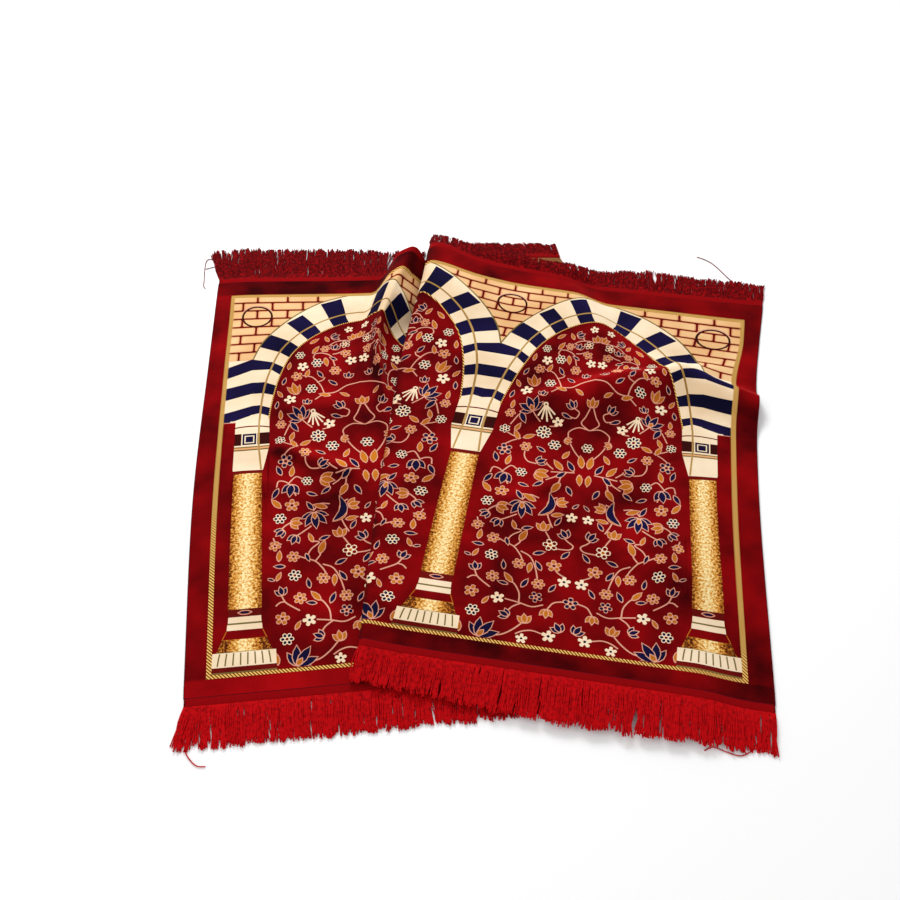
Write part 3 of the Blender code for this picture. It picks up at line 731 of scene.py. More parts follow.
# %% where the flowers stand
MOTIFS = table(
    ("kind", "x", "v", "size", "turn"),
    ("lotus", 143, 60, 25, 125), ("white star", 78, 50, 11, 90), ("white star", 32, 63, 13, 20),
    ("navy tulip", 18, 85, 14, 60), ("ochre tulip", 78, 95, 14, 80), ("navy tulip", 116, 98, 13, 25),
    ("dark rose", 172, 96, 13, 0), ("ochre tulip", 41, 110, 13, 270), ("ochre leaf", 153, 120, 10, 120),
    ("white star", 131, 131, 13, 0), ("ochre rose", 180, 138, 14, 30), ("navy star", 0, 142, 15, 90),
    ("navy star", 63, 145, 13, 60), ("gold rose", 62, 176, 13, 0), ("navy leaf", 37, 169, 11, 120),
    ("white star", 16, 190, 13, 90), ("navy leaf", 88, 171, 12, 115), ("ochre leaf", 116, 178, 13, 50),
    ("navy leaf", 124, 166, 10, 10), ("gold rose", 147, 178, 13, 20), ("navy tulip", 182, 197, 13, 75),
    ("ochre rose", 38, 225, 15, 10), ("gold rose", 103, 217, 13, 0), ("dark rose", 156, 228, 13, 15),
    ("navy leaf", 65, 217, 12, 60), ("ochre leaf", 82, 214, 12, 275), ("navy leaf", 71, 250, 12, 155),
    ("navy leaf", 21, 254, 12, 125), ("ochre leaf", 187, 226, 10, 115), ("navy leaf", 199, 222, 8, 20),
    ("navy leaf", 182, 250, 11, 5), ("ochre leaf", 185, 271, 12, 95), ("gold rose", 158, 270, 13, 10),
    ("ochre leaf", 104, 284, 15, 110), ("navy leaf", 132, 268, 10, 250), ("pale rose", 50, 275, 15, 0),
    ("ochre rose", 193, 297, 12, 50), ("navy leaf", 100, 307, 11, 160), ("ochre leaf", 123, 308, 11, 70),
    ("navy tulip", 157, 308, 14, 290), ("ochre tulip", 68, 320, 15, 85), ("navy tulip", 27, 308, 14, 55),
    ("navy tulip", 184, 326, 13, 320), ("ochre tulip", 150, 347, 15, 190), ("lotus", 114, 350, 23, 265),
    ("navy leaf", 42, 332, 11, 120), ("ochre leaf", 46, 349, 12, 170), ("white star", 16, 347, 12, 90),
    ("dark rose", 183, 361, 13, 0), ("plume", 76, 373, 33, 100), ("ochre leaf", 100, 383, 14, 20),
    ("navy leaf", 122, 384, 12, 60), ("ochre tulip", 36, 384, 15, 165), ("navy leaf", 12, 376, 9, 130),
    ("ochre rose", 159, 391, 15, 20), ("ochre leaf", 188, 395, 14, 50), ("navy tulip", 161, 425, 19, 280),
    ("navy leaf", 190, 424, 13, 300), ("ochre leaf", 53, 424, 15, 300), ("navy leaf", 28, 421, 13, 245),
    ("ochre tulip", 84, 449, 19, 195), ("navy leaf", 88, 424, 12, 320), ("dark rose", 127, 449, 12, 0),
    ("navy leaf", 49, 456, 13, 130), ("ochre leaf", 9, 455, 14, 265), ("ochre leaf", 53, 481, 15, 50),
    ("navy leaf", 28, 483, 14, 60), ("ochre leaf", 9, 498, 16, 80), ("navy tulip", 90, 488, 14, 150),
    ("ochre leaf", 158, 474, 13, 100), ("navy leaf", 183, 478, 13, 70), ("navy star", 170, 504, 17, 0),
    ("dark rose", 0, 541, 13, 0), ("ochre tulip", 42, 554, 11, 200), ("gold rose", 128, 520, 13, 0),
    ("dark rose", 70, 537, 14, 0), ("large rose", 98, 567, 17, 0), ("ochre leaf", 129, 548, 13, 150),
    ("ochre leaf", 151, 546, 13, 60), ("dark rose", 181, 561, 12, 20), ("ochre leaf", 156, 568, 12, 110),
    ("white star", 72, 599, 13, 0), ("ochre tulip", 0, 660, 15, 90), ("navy tulip", 48, 648, 14, 60),
    ("navy leaf", 58, 619, 12, 200), ("navy leaf", 151, 600, 15, 240), ("lotus", 141, 633, 23, 60),
    ("gold rose", 179, 606, 12, 0), ("ochre leaf", 179, 628, 11, 90), ("white star", 157, 674, 15, 0),
    ("fan", 106, 634, 20, 255), ("navy tulip", 118, 664, 12, 100), ("ochre leaf", 75, 681, 13, 20),
    ("drop", 146, 706, 20, 75), ("dark rose", 107, 704, 14, 0), ("ochre rose", 141, 745, 14, 0),
    ("ochre leaf", 117, 749, 12, 110), ("navy leaf", 85, 744, 12, 60), ("gold rose", 51, 754, 14, 0),
    ("white star", 14, 781, 13, 0), ("white star", 127, 774, 14, 50), ("dark rose", 93, 782, 14, 0),
    ("ochre leaf", 72, 786, 13, 260), ("navy leaf", 53, 791, 10, 30), ("ochre rose", 25, 806, 13, 0),
    ("navy tulip", 50, 831, 13, 100), ("ochre leaf", 99, 822, 13, 120), ("gold rose", 75, 826, 12, 0),
    ("pale rose", 27, 838, 13, 0), ("ochre tulip", 9, 864, 15, 75), ("navy tulip", 53, 869, 14, 150),
    ("white star", 23, 893, 12, 0), ("ochre leaf", 73, 858, 11, 60), ("dark rose", 134, 810, 12, 0),
    ("navy tulip", 22, 738, 12, 100), ("ochre leaf", 106, 854, 12, 140), ("ochre leaf", 190, 56, 12, 80),
    ("navy leaf", 56, 716, 12, 40), ("navy leaf", 188, 658, 11, 100), ("ochre leaf", 180, 692, 11, 60),
    ("ochre leaf", 160, 776, 11, 100), ("navy leaf", 121, 416, 11, 200), ("navy leaf", 172, 730, 11, 110),
    ("ochre leaf", 32, 678, 11, 30), ("ochre leaf", 44, 512, 12, 120), ("navy leaf", 130, 206, 11, 80),
    ("navy leaf", 94, 518, 11, 30))
VINE_WIDTH = 2.7
VINES = (
    ((142, 46), (115, 52), (96, 66), (82, 82)),
    ((44, 66), (62, 70), (78, 66), (90, 58)),
    ((12, 144), (30, 138), (40, 122)),
    ((48, 130), (68, 122), (92, 127), (118, 131)),
    ((92, 127), (94, 148), (103, 165), (113, 175)),
    ((88, 126), (102, 116), (110, 104)),
    ((148, 152), (165, 164), (175, 173), (181, 186)),
    ((175, 173), (184, 172), (192, 165)),
    ((98, 228), (104, 240), (117, 256), (135, 264), (147, 270)),
    ((117, 256), (108, 268), (106, 276)),
    ((134, 264), (124, 284), (108, 298), (120, 302)),
    ((65, 188), (72, 214), (84, 238), (103, 248)),
    ((18, 202), (28, 208), (34, 214)),
    ((24, 296), (18, 290), (7, 281), (14, 271), (38, 268)),
    ((62, 306), (56, 296), (52, 288)),
    ((122, 338), (138, 326), (150, 318)),
    ((162, 350), (174, 342), (181, 333)),
    ((48, 396), (62, 388), (66, 366), (60, 340), (50, 318)),
    ((84, 388), (104, 390), (117, 374)),
    ((150, 412), (165, 444), (184, 452), (189, 436)),
    ((165, 444), (150, 462), (136, 455)),
    ((20, 470), (40, 467), (68, 462)),
    ((36, 468), (47, 450), (50, 436), (60, 418)),
    ((64, 470), (76, 480), (80, 486)),
    ((100, 478), (118, 481), (127, 494), (128, 508)),
    ((0, 590), (24, 594), (44, 580), (44, 564)),
    ((38, 548), (28, 530), (16, 514), (10, 508)),
    ((4, 646), (12, 624), (20, 606), (2, 590)),
    ((42, 640), (28, 632), (34, 617), (48, 618)),
    ((110, 592), (122, 604), (132, 616)),
    ((142, 540), (160, 545), (174, 552)),
    ((0, 712), (28, 706), (54, 688), (80, 684), (100, 668)),
    ((78, 684), (86, 712), (104, 738), (128, 746)),
    ((94, 722), (80, 728), (76, 736)),
    ((51, 768), (60, 800), (80, 812), (98, 812)),
    ((98, 812), (102, 800), (96, 794)),
    ((32, 814), (44, 808), (56, 806)),
    ((14, 850), (30, 852), (52, 848), (66, 836)),
    ((52, 862), (40, 852)),
    ((88, 585), (70, 590), (60, 608)),
    ((172, 575), (166, 590), (160, 604)),
    ((196, 316), (192, 306), (180, 300)),
    ((76, 436), (62, 446), (56, 452)),
    ((176, 515), (160, 530), (150, 536)))
FIELD_RIGHT = EDGE - 41
FIELD_LEFT = -30
FIELD_TOP = 924


def draw_field(chart, inner):
    """The field under the arch with its flowers on vines."""
    foot = FRAME_LOW[1] + 2
    field = chart.lay("red", np.concatenate(
        [[(FIELD_LEFT, foot), (FIELD_RIGHT, foot), (FIELD_RIGHT, BAND_FOOT)],
         inner[1:] - (1.0, 1.0), [(FIELD_LEFT, FIELD_TOP)]]))
    for vine in VINES:
        chart.lay("pink", stroke(smooth(vine), VINE_WIDTH), field)
    for motif in MOTIFS:
        draw_motif(chart, field, **motif)


print("flowers and leaves in half an arch:", len(MOTIFS), "and vines:", len(VINES))

# %% [markdown]
# The red margins and the four gold lines are laid last. The panel outside each end column has no
# flowers: the stripes of the arch run on to the gold line, and under them the cloth is plain red.

# %% the two panels
SIDE_LEFT = EDGE - MARGIN
SIDE_RED_LOW = 488.0
SIDE_RED_TOP = 620.0
SIDE_LINE = 2.0
SIDE_CAPITAL = EDGE - 31.0
CAPITAL_WIDTH = MIDDLE_WIDTH - 0.6


def draw_margins(chart, left, line_left):
    """The red margin with its gold lines, front, back and at the side where there is one."""
    low, high = FRAME_LOW, FRAME_HIGH
    chart.lay("red", box(left - OVER, -OVER, PAST, low[0]))
    chart.lay("red", box(left - OVER, high[1], PAST, DEPTH + OVER))
    chart.lay("frame", box(line_left, low[0], PAST, low[1]))
    chart.lay("frame", box(line_left, high[0], PAST, high[1]))
    if line_left > left:
        chart.lay("red", box(left - OVER, -OVER, line_left, DEPTH + OVER))
        chart.lay("frame", box(line_left, low[0], line_left + FRAME_WIDTH, high[1]))


def field_panel():
    chart = Chart()
    chart.lay("red", box(0, 0, EDGE, DEPTH))
    inner = draw_arch(chart)
    draw_field(chart, inner)
    draw_column(chart)
    chart.lay("middle", stroke(smooth(CAPITAL_LINE, 3), CAPITAL_WIDTH))
    draw_margins(chart, 0, -OVER)
    return chart


def side_panel():
    chart = Chart()
    chart.lay("red", box(SIDE_LEFT, 0, EDGE, DEPTH))
    draw_side(chart)
    draw_column(chart)
    line_left = EDGE - FRAME_SIDE - FRAME_WIDTH / 2
    for low, right in ((FRAME_LOW[1], EDGE - SIDE_REACH), (SIDE_RED_LOW, SIDE_CAPITAL)):
        chart.lay("red", box(SIDE_LEFT - OVER, low, right, SIDE_RED_TOP))
    chart.lay("pink", box(line_left, SIDE_RED_TOP, SIDE_CAPITAL, SIDE_RED_TOP + SIDE_LINE))
    draw_margins(chart, SIDE_LEFT, line_left)
    return chart


GRID = 20.0
SNAP = 0.03


def cut_panel(chart, left, seam):
    """Cut a panel along every outline: its points, its triangles and the colour of each.

    The seam lists heights on the column's axis where the other panel has a point too.
    """
    grid_x = np.append(EDGE - GRID * np.arange(int((EDGE - left) / GRID) + 1), left)
    grid_v = np.linspace(0, DEPTH, round(DEPTH / GRID) + 1)
    points = chart.points + [(x, v) for x in grid_x for v in grid_v] + [(EDGE, v) for v in seam]
    outlines = [list(outline) for _, outline, _ in chart.shapes]
    flat, _, triangles, _, _, sources = delaunay_2d_cdt(
        [Vector(point) for point in points], [], outlines, 0, 0.01, True)
    flat = np.array([tuple(point) for point in flat])
    for column, line in ((0, left), (0, EDGE), (1, 0.0), (1, DEPTH)):
        near = np.abs(flat[:, column] - line) < SNAP
        flat[near, column] = line

    def covers(number, inside):
        mask = chart.shapes[number][2]
        return number in inside and (mask is None or covers(mask, inside))

    kept = []
    colours = []
    for triangle, inside in zip(triangles, sources):
        inside = set(inside)
        if 0 not in inside:
            continue
        top = max(number for number in inside if covers(number, inside))
        kept.append(triangle)
        colours.append(COLOURS.index(chart.shapes[top][0]))
    return flat, np.array(kept), np.array(colours)


def seam_of(points, triangles, _):
    """Heights of a panel's points on the column's axis."""
    used = points[np.unique(triangles)]
    return used[used[:, 0] == EDGE, 1].tolist()


# The first cut finds where each panel has points on the axis, and the second gives both the same.
panel_seam = []
for _ in range(2):
    panels = {"field": cut_panel(field_panel(), 0.0, panel_seam),
              "side": cut_panel(side_panel(), SIDE_LEFT, panel_seam)}
    panel_seam = seam_of(*panels["field"]) + seam_of(*panels["side"])
for panel_name, (_, panel_triangles, _) in panels.items():
    print(panel_name, "panel:", len(panel_triangles), "triangles")

# %% [markdown]
# ## From flat pattern to folded cloth
#
# The panels are laid side by side on the flat cloth, each second one mirrored, and joined. Edges
# that would cut a corner where the cloth bends are halved until the surface follows the bend to a
# third of a millimetre. Only then does each point go to its place in the fold.

# %% lay out and refine
MM = 0.001
JOIN = 0.00003
PILE_ERROR = 0.0003
BACK_ERROR = 0.0006
BEND_ROUNDS = 4
BACK_GRID = 0.020
TINY = 1e-5


def drop_loose(bm):
    """Delete the points that no face uses."""
    loose = [vert for vert in bm.verts if not vert.link_faces]
    bmesh.ops.delete(bm, geom=loose, context="VERTS")


def flat_cloth():
    """The pile side of the whole cloth as a flat mesh in metres, u and v as x and y."""
    bm = bmesh.new()
    layout = []
    for arch in range(ARCH_COUNT):
        axis = MARGIN + EDGE * (2 * arch + 1)
        layout.append(("field", axis, 1))
        layout.append(("field", axis, -1))
    layout.append(("side", MARGIN - EDGE, 1))
    layout.append(("side", CLOTH_WIDTH / MM - MARGIN + EDGE, -1))
    for name, origin, way in layout:
        points, triangles, colours = panels[name]
        verts = [bm.verts.new(((origin + way * x) * MM, v * MM, 0.0)) for x, v in points]
        for triangle, colour in zip(triangles, colours):
            order = triangle if way > 0 else triangle[::-1]
            face = bm.faces.new([verts[index] for index in order])
            face.material_index = colour
    drop_loose(bm)
    bmesh.ops.remove_doubles(bm, verts=bm.verts, dist=JOIN)
    return bm


def refine(bm, allowed, keep_border):
    """Halve every edge whose middle lies further off the bent surface than is allowed."""
    for _ in range(BEND_ROUNDS):
        bm.verts.index_update()
        flat = np.array([vert.co[:2] for vert in bm.verts])
        edges = list(bm.edges)
        ends = np.array([(edge.verts[0].index, edge.verts[1].index) for edge in edges])
        place = cloth_point(flat[:, 0], flat[:, 1])
        middle = (flat[ends[:, 0]] + flat[ends[:, 1]]) / 2
        chord = (place[ends[:, 0]] + place[ends[:, 1]]) / 2
        error = np.linalg.norm(cloth_point(middle[:, 0], middle[:, 1]) - chord, axis=1)
        picked = [edge for edge, off in zip(edges, error)
                  if off > allowed and not (keep_border and edge.is_boundary)]
        if not picked:
            break
        bmesh.ops.subdivide_edges(bm, edges=picked, cuts=1)
        bmesh.ops.triangulate(bm, faces=[face for face in bm.faces if len(face.verts) > 3])


def around_edge(u, v):
    """Distance along the cloth's edge, counter-clockwise from its front left corner."""
    right = CLOTH_WIDTH + v
    back = 2 * CLOTH_WIDTH + CLOTH_DEPTH - u
    left = 2 * (CLOTH_WIDTH + CLOTH_DEPTH) - v
    return np.where(v < TINY, u, np.where(u > CLOTH_WIDTH - TINY, right,
                    np.where(v > CLOTH_DEPTH - TINY, back, left)))


def border_ring(bm):
    """Numbers of the border's points in order round the cloth."""
    ring = np.array([vert.index for vert in bm.verts if vert.is_boundary])
    flat = np.array([bm.verts[index].co[:2] for index in ring])
    return ring[np.argsort(around_edge(flat[:, 0], flat[:, 1]))]


def to_arrays(bm):
    bm.verts.index_update()
    bm.verts.ensure_lookup_table()
    flat = np.array([vert.co[:2] for vert in bm.verts])
    faces = np.array([[vert.index for vert in face.verts] for face in bm.faces])
    colours = np.array([face.material_index for face in bm.faces])
    ring = border_ring(bm)
    bm.free()
    return flat, faces, colours, ring


pile = flat_cloth()
refine(pile, PILE_ERROR, keep_border=False)
pile_flat, pile_faces, pile_colours, pile_ring = to_arrays(pile)
print("pile side:", len(pile_faces), "triangles, border points:", len(pile_ring))


# %% the woven back
def flat_back(border):
    """The back of the cloth, on a plain grid inside the same border points."""
    us = np.arange(BACK_GRID, CLOTH_WIDTH - BACK_GRID / 2, BACK_GRID)
    vs = np.arange(BACK_GRID, CLOTH_DEPTH - BACK_GRID / 2, BACK_GRID)
    points = [Vector(point) for point in border] + [Vector((u, v)) for u in us for v in vs]
    outline = [list(range(len(border)))]
    flat, _, triangles, _, _, _ = delaunay_2d_cdt(points, [], outline, 1, 1e-7, True)
    bm = bmesh.new()
    verts = [bm.verts.new((point[0], point[1], 0.0)) for point in flat]
    for triangle in triangles:
        bm.faces.new([verts[index] for index in triangle])
    drop_loose(bm)
    return bm


back = flat_back(pile_flat[pile_ring])
refine(back, BACK_ERROR, keep_border=True)
back_flat, back_faces, _, back_ring = to_arrays(back)
print("back:", len(back_faces), "triangles, border points:", len(back_ring))

# %% [markdown]
# ## One closed cloth
#
# The pile side and the back are set half a thickness off the middle surface and joined by a round
# rim. The shading normals come from the surface itself, so the cuts of the pattern don't show as
# facets. Every point keeps its flat place as a UV map in metres, which the finishes use.

# %% close the cloth
RIM_STEPS = 4
RIM_BULGE = 0.0018
BORDER_STEP = 0.002
BAKE_SCALE = 1 / 2.23
BAKE_EDGE = 0.005
BAKE_BACK = 0.5
BAKE_ALONG = 0.98
BAKE_RIM = (0.989, 0.997)
BACK_SLOT = len(COLOURS)
RIM_SLOT = BACK_SLOT + 1


def outward_at(u, v):
    """Level direction that points out of the cloth at its border."""
    du = np.where(u < TINY, -1.0, np.where(u > CLOTH_WIDTH - TINY, 1.0, 0.0))
    dv = np.where(v < TINY, -1.0, np.where(v > CLOTH_DEPTH - TINY, 1.0, 0.0))
    return unit(cloth_point(u, v) - cloth_point(u - du * BORDER_STEP, v - dv * BORDER_STEP))


def make_mesh(name, points, faces, colours, uvs, bakes, normals):
    """A mesh with one material number a face and its own UVs and normals a corner."""
    mesh = bpy.data.meshes.new(name)
    mesh.from_pydata(points.tolist(), [], faces.tolist())
    mesh.polygons.foreach_set("material_index", colours.astype(np.int32))
    mesh.polygons.foreach_set("use_smooth", np.ones(len(faces), dtype=bool))
    for map_name, places in (("cloth", uvs), ("OFBake", bakes)):
        uv_map = mesh.uv_layers.new(name=map_name)
        uv_map.data.foreach_set("uv", places.astype(np.float32).ravel())
    mesh.normals_split_custom_set(normals.tolist())
    return mesh


def build_cloth():
    half = CLOTH_THICK / 2
    pile_normal = cloth_normal(*pile_flat.T)
    pile_points = cloth_point(*pile_flat.T) + pile_normal * half
    back_normal = cloth_normal(*back_flat.T)
    back_points = cloth_point(*back_flat.T) - back_normal * half

    border = pile_flat[pile_ring]
    count = len(border)
    middle = cloth_point(*border.T)
    out = outward_at(*border.T)
    up = cloth_normal(*border.T)
    rim_points = []
    rim_normals = [up]
    rings = [pile_ring]
    offset = len(pile_points) + len(back_points)
    for step in range(1, RIM_STEPS):
        angle = math.pi * step / RIM_STEPS
        direction = out * math.sin(angle) * RIM_BULGE / half + up * math.cos(angle)
        rim_points.append(middle + direction * half)
        rim_normals.append(unit(direction))
        rings.append(offset + np.arange(count))
        offset += count
    rim_normals.append(-up)
    rings.append(back_ring + len(pile_points))

    faces = [pile_faces, (back_faces + len(pile_points))[:, ::-1]]
    colours = [pile_colours, np.full(len(back_faces), BACK_SLOT)]
    uvs = [pile_flat[pile_faces], back_flat[back_faces][:, ::-1]]
    low = np.array((BAKE_EDGE, BAKE_EDGE))
    bakes = [low + uvs[0] * BAKE_SCALE, low + (0.0, BAKE_BACK) + uvs[1] * BAKE_SCALE]
    normals = [pile_normal[pile_faces], -back_normal[back_faces][:, ::-1]]
    here = np.arange(count)
    after = (here + 1) % count
    length = around_edge(*border.T)
    total = 2 * (CLOTH_WIDTH + CLOTH_DEPTH)
    length_after = np.where(after == 0, total, length[after])
    for step in range(RIM_STEPS):
        square = ((here, length, step), (here, length, step + 1),
                  (after, length_after, step + 1), (after, length_after, step))
        for corners in (square[:3], square[:1] + square[2:]):
            faces.append(np.stack([rings[level][index] for index, _, level in corners], axis=1))
            normals.append(np.stack([rim_normals[level][index] for index, _, level in corners],
                                    axis=1))
            along = np.stack([at for _, at, _ in corners], axis=1)
            over = np.array([level for _, _, level in corners]) * half * math.pi / RIM_STEPS
            over = np.broadcast_to(over, along.shape)
            uvs.append(np.stack([along, over], axis=2))
            share = over / (half * math.pi)
            bakes.append(np.stack([BAKE_EDGE + along / total * BAKE_ALONG,
                                   BAKE_RIM[0] + share * (BAKE_RIM[1] - BAKE_RIM[0])], axis=2))
            colours.append(np.full(count, RIM_SLOT))
    corner_data = [np.concatenate(part).reshape(-1, width)
                   for part, width in ((uvs, 2), (bakes, 2), (normals, 3))]
    return make_mesh("rug_pile", np.concatenate([pile_points, back_points] + rim_points),
                     np.concatenate(faces), np.concatenate(colours), *corner_data)


cloth_mesh = build_cloth()
cloth = add_object("rug_pile", cloth_mesh)
print("cloth:", len(cloth_mesh.polygons), "triangles")

# %% [markdown]
# ## Finishes
#
# Velour is short cut pile. It is rough, a little brighter where the eye looks along it, and mottled in
# patches where the pile was brushed one way or the other. Painted light and shade are added to its
# colour: darker where it faces the front, and lighter or darker along the front and back margins. All
# colours of pile share one maker.

# %% node helper
MATH = "ShaderNodeMath"


def add_node(tree, kind, inputs=(), **settings):
    """A node with its settings. Each input is a constant or the output of another node."""
    node = tree.nodes.new(kind)
    for key, value in settings.items():
        setattr(node, key, value)
    for socket, value in inputs.items() if isinstance(inputs, dict) else enumerate(inputs):
        if isinstance(value, bpy.types.NodeSocket):
            tree.links.new(value, node.inputs[socket])
        else:
            node.inputs[socket].default_value = value
    return node


def empty_material(name):
    material = bpy.data.materials.new(name)
    material.use_nodes = True
    material.node_tree.nodes.clear()
    return material, material.node_tree


def add_shader(tree, inputs, relief=None, strength=0.0, depth=0.0):
    """The shader with its inputs, its output, and a fine relief where there is one."""
    shader = add_node(tree, "ShaderNodeBsdfPrincipled", inputs)
    add_node(tree, "ShaderNodeOutputMaterial", {"Surface": shader.outputs["BSDF"]})
    if relief:
        bump = add_node(tree, "ShaderNodeBump",
                        {"Height": relief, "Strength": strength, "Distance": depth})
        tree.links.new(bump.outputs["Normal"], shader.inputs["Normal"])


def two_tone(tree, share, low, high, shade, colour):
    """From shade to colour as the share rises from low to high."""
    ramp = add_node(tree, "ShaderNodeMapRange", {"Value": share, "From Min": low, "From Max": high})
    blend = add_node(tree, "ShaderNodeMix", {
        "Factor": ramp.outputs["Result"], 6: linear(shade), 7: linear(colour)}, data_type="RGBA")
    return blend.outputs[2]


print("node helpers are ready")

# %% colours of the pile
# One row for each colour of the pattern, in the order of COLOURS.
PILES = table(
    ("key", "finish", "colour", "shade"),
    # Deep red of the field and margins: the colour that the eye takes as the rug's.
    ("red", "deep_red_cut_pile", "#9E060B", "#2C0002"),
    # Warm cream of the stripes and bricks: the brightest pile, it lifts the pattern off the red.
    ("cream", "cream_cut_pile", "#FCEBCE", "#DEC09A"),
    # Violet-navy of the stripes: reads as dark blue beside cream and as violet on red.
    ("navy", "violet_navy_cut_pile", "#1E1644", "#0B0920"),
    # Tan cream of the bricks: warmer than the cream of the stripes.
    ("block", "tan_cream_cut_pile", "#F1CD9B", "#D49E66"),
    # Red-brown between the bricks.
    ("mortar", "red_brown_cut_pile", "#7C1410", "#4A0907"),
    # Pinkish amber rim of each brick: softens the step from cream to red-brown.
    ("brick", "amber_cut_pile", "#EDB582", "#CF8A58"),
    # Olive-gold of the thin rings that follow the arch.
    ("ring", "olive_gold_cut_pile", "#8C7640", "#5E4E28"),
    # Pale gold of the ring in the middle of the arch: lighter than the thin rings beside it.
    ("middle", "pale_gold_cut_pile", "#C79F5E", "#8E6A34"),
    # Orange-ochre of leaves and flowers.
    ("ochre", "ochre_cut_pile", "#DB8528", "#8A430E"),
    # Pinkish cream of the vines and of the thin outline round each flower.
    ("pink", "pink_cream_cut_pile", "#F0B89C", "#C07A64"),
    # Cream and gold of the columns' shafts with brown flecks, like veined stone: see SHAFT_STOPS.
    ("shaft", "veined_gold_cut_pile", None, None),
    # Dark brown of shadows, small bands and the round rings on the bricks.
    ("brown", "dark_brown_cut_pile", "#43130F", "#230706"),
    # Gold twill of the border line.
    ("frame", "gold_twill_cut_pile", "#F0BC66", "#5E3A12"))
PILE_ROUGH = 0.9
PILE_GLOSS = 0.03
SHEEN = 0.02
SHEEN_ROUGH = 0.35
print("colours of pile:", len(PILES))


# %% how the pile lies, and the painted light and shade on it
TUFT_SIZE = 0.0016
TUFT_DEPTH = 0.0006
TUFT_RELIEF = 0.5
PATCH_SIZE = 0.11
PATCH_GAIN = 2.3
PATCH_RANGE = (1.02, 2.48)
# Painted light and shade by facing: the pile is painted lighter where it faces back and to the right, and
# darker where it faces the front and to the left.
PAINTED_SHADE_TURN = (0.35, 1.0, 0.0)
PAINTED_SHADE_GAIN = 1.2
# Painted light and shade on the front and back margins: how much lighter or darker each is painted from
# its left end to its right.
MARGIN_PAINTED_LIGHT = table(
    ("outer", "inner", "left end", "right end", "at left", "at right"),
    (0.028, 0.034, 0.55, 0.92, 0.60, -0.30),
    (1.034, 1.026, 0.20, 1.30, -0.42, -0.05))


def margin_painted_light(tree, place):
    """Painted light and shade along the front and back margins, from their left end to their right."""
    split = add_node(tree, "ShaderNodeSeparateXYZ", (place,))
    terms = []
    for margin in MARGIN_PAINTED_LIGHT:
        inside = add_node(tree, "ShaderNodeMapRange", (
            split.outputs["Y"], margin["outer"], margin["inner"], 1.0, 0.0))
        across = add_node(tree, "ShaderNodeMapRange", (
            split.outputs["X"], margin["left end"], margin["right end"], margin["at left"],
            margin["at right"]))
        terms.append(add_node(tree, MATH, (inside.outputs["Result"], across.outputs["Result"]),
                              operation="MULTIPLY").outputs[0])
    return add_node(tree, MATH, terms, operation="ADD").outputs[0]


def brushed_with_painted_shade(tree, tufts, place):
    """How light the pile is: fine tufts, broad brushed patches, painted light and shade from the way it
    faces, and painted light and shade along the margins.
    """
    patches = add_node(tree, "ShaderNodeTexNoise", {
        "Vector": place, "Scale": 1 / PATCH_SIZE, "Detail": 3.0})
    mix = add_node(tree, MATH, (patches.outputs["Fac"], PATCH_GAIN, tufts), operation="MULTIPLY_ADD")
    facing = add_node(tree, "ShaderNodeNewGeometry")
    painted_facing_shade = add_node(tree, "ShaderNodeVectorMath", (facing.outputs["Normal"], PAINTED_SHADE_TURN),
                   operation="DOT_PRODUCT")
    lit = add_node(tree, MATH, (painted_facing_shade.outputs["Value"], PAINTED_SHADE_GAIN, mix.outputs[0]),
                   operation="MULTIPLY_ADD")
    toned = add_node(tree, MATH, (lit.outputs[0], margin_painted_light(tree, place)), operation="ADD")
    return toned.outputs[0]


print("margins with their own tone:", len(MARGIN_PAINTED_LIGHT))


# %% veined shafts
VEIN_SIZE = 0.0048
VEIN_GAIN = -2.4
VEIN_MIDDLE = 2.03
VEIN_EDGE = -0.66
SHAFT_HALF = 0.031
SHAFT_CURVE = 1.5
# Colours of the shaft from its darkest flecks to its pale middle.
SHAFT_STOPS = ((0.10, "#4A1C0A"), (0.34, "#A9601C"), (0.62, "#DFA245"), (0.95, "#F9E6AC"))


def shaft_veins(tree, place):
    """Flecks that thicken from the pale middle of each column towards its edges."""
    split = add_node(tree, "ShaderNodeSeparateXYZ", (place,))
    inset = add_node(tree, MATH, (split.outputs["X"], SIDE_MARGIN), operation="SUBTRACT")
    off = add_node(tree, MATH, (inset.outputs[0], ARCH_PITCH / 2), operation="PINGPONG")
    share = add_node(tree, MATH, (off.outputs[0], SHAFT_HALF), operation="DIVIDE", use_clamp=True)
    curve = add_node(tree, MATH, (share.outputs[0], SHAFT_CURVE), operation="POWER")
    veins = add_node(tree, "ShaderNodeTexNoise", {
        "Vector": place, "Scale": 1 / VEIN_SIZE, "Detail": 3.0, "Roughness": 0.7})
    flecks = add_node(tree, MATH, (veins.outputs["Fac"], VEIN_GAIN, VEIN_MIDDLE),
                      operation="MULTIPLY_ADD")
    edged = add_node(tree, MATH, (curve.outputs[0], VEIN_EDGE, flecks.outputs[0]),
                     operation="MULTIPLY_ADD")
    ramp = add_node(tree, "ShaderNodeValToRGB", (edged.outputs[0],))
    for number, (position, tone) in enumerate(SHAFT_STOPS):
        if number < 2:
            stop = ramp.color_ramp.elements[number]
            stop.position = position
        else:
            stop = ramp.color_ramp.elements.new(position)
        stop.color = linear(tone)
    return ramp.outputs["Color"]


print("tones of a shaft:", len(SHAFT_STOPS))


# %% the pile
TWILL_PITCH = 0.0032
TWILL_RANGE = (0.35, 0.65)
WAVE_LENGTH = 0.314    # length of one wave of the wave texture at a scale of 1


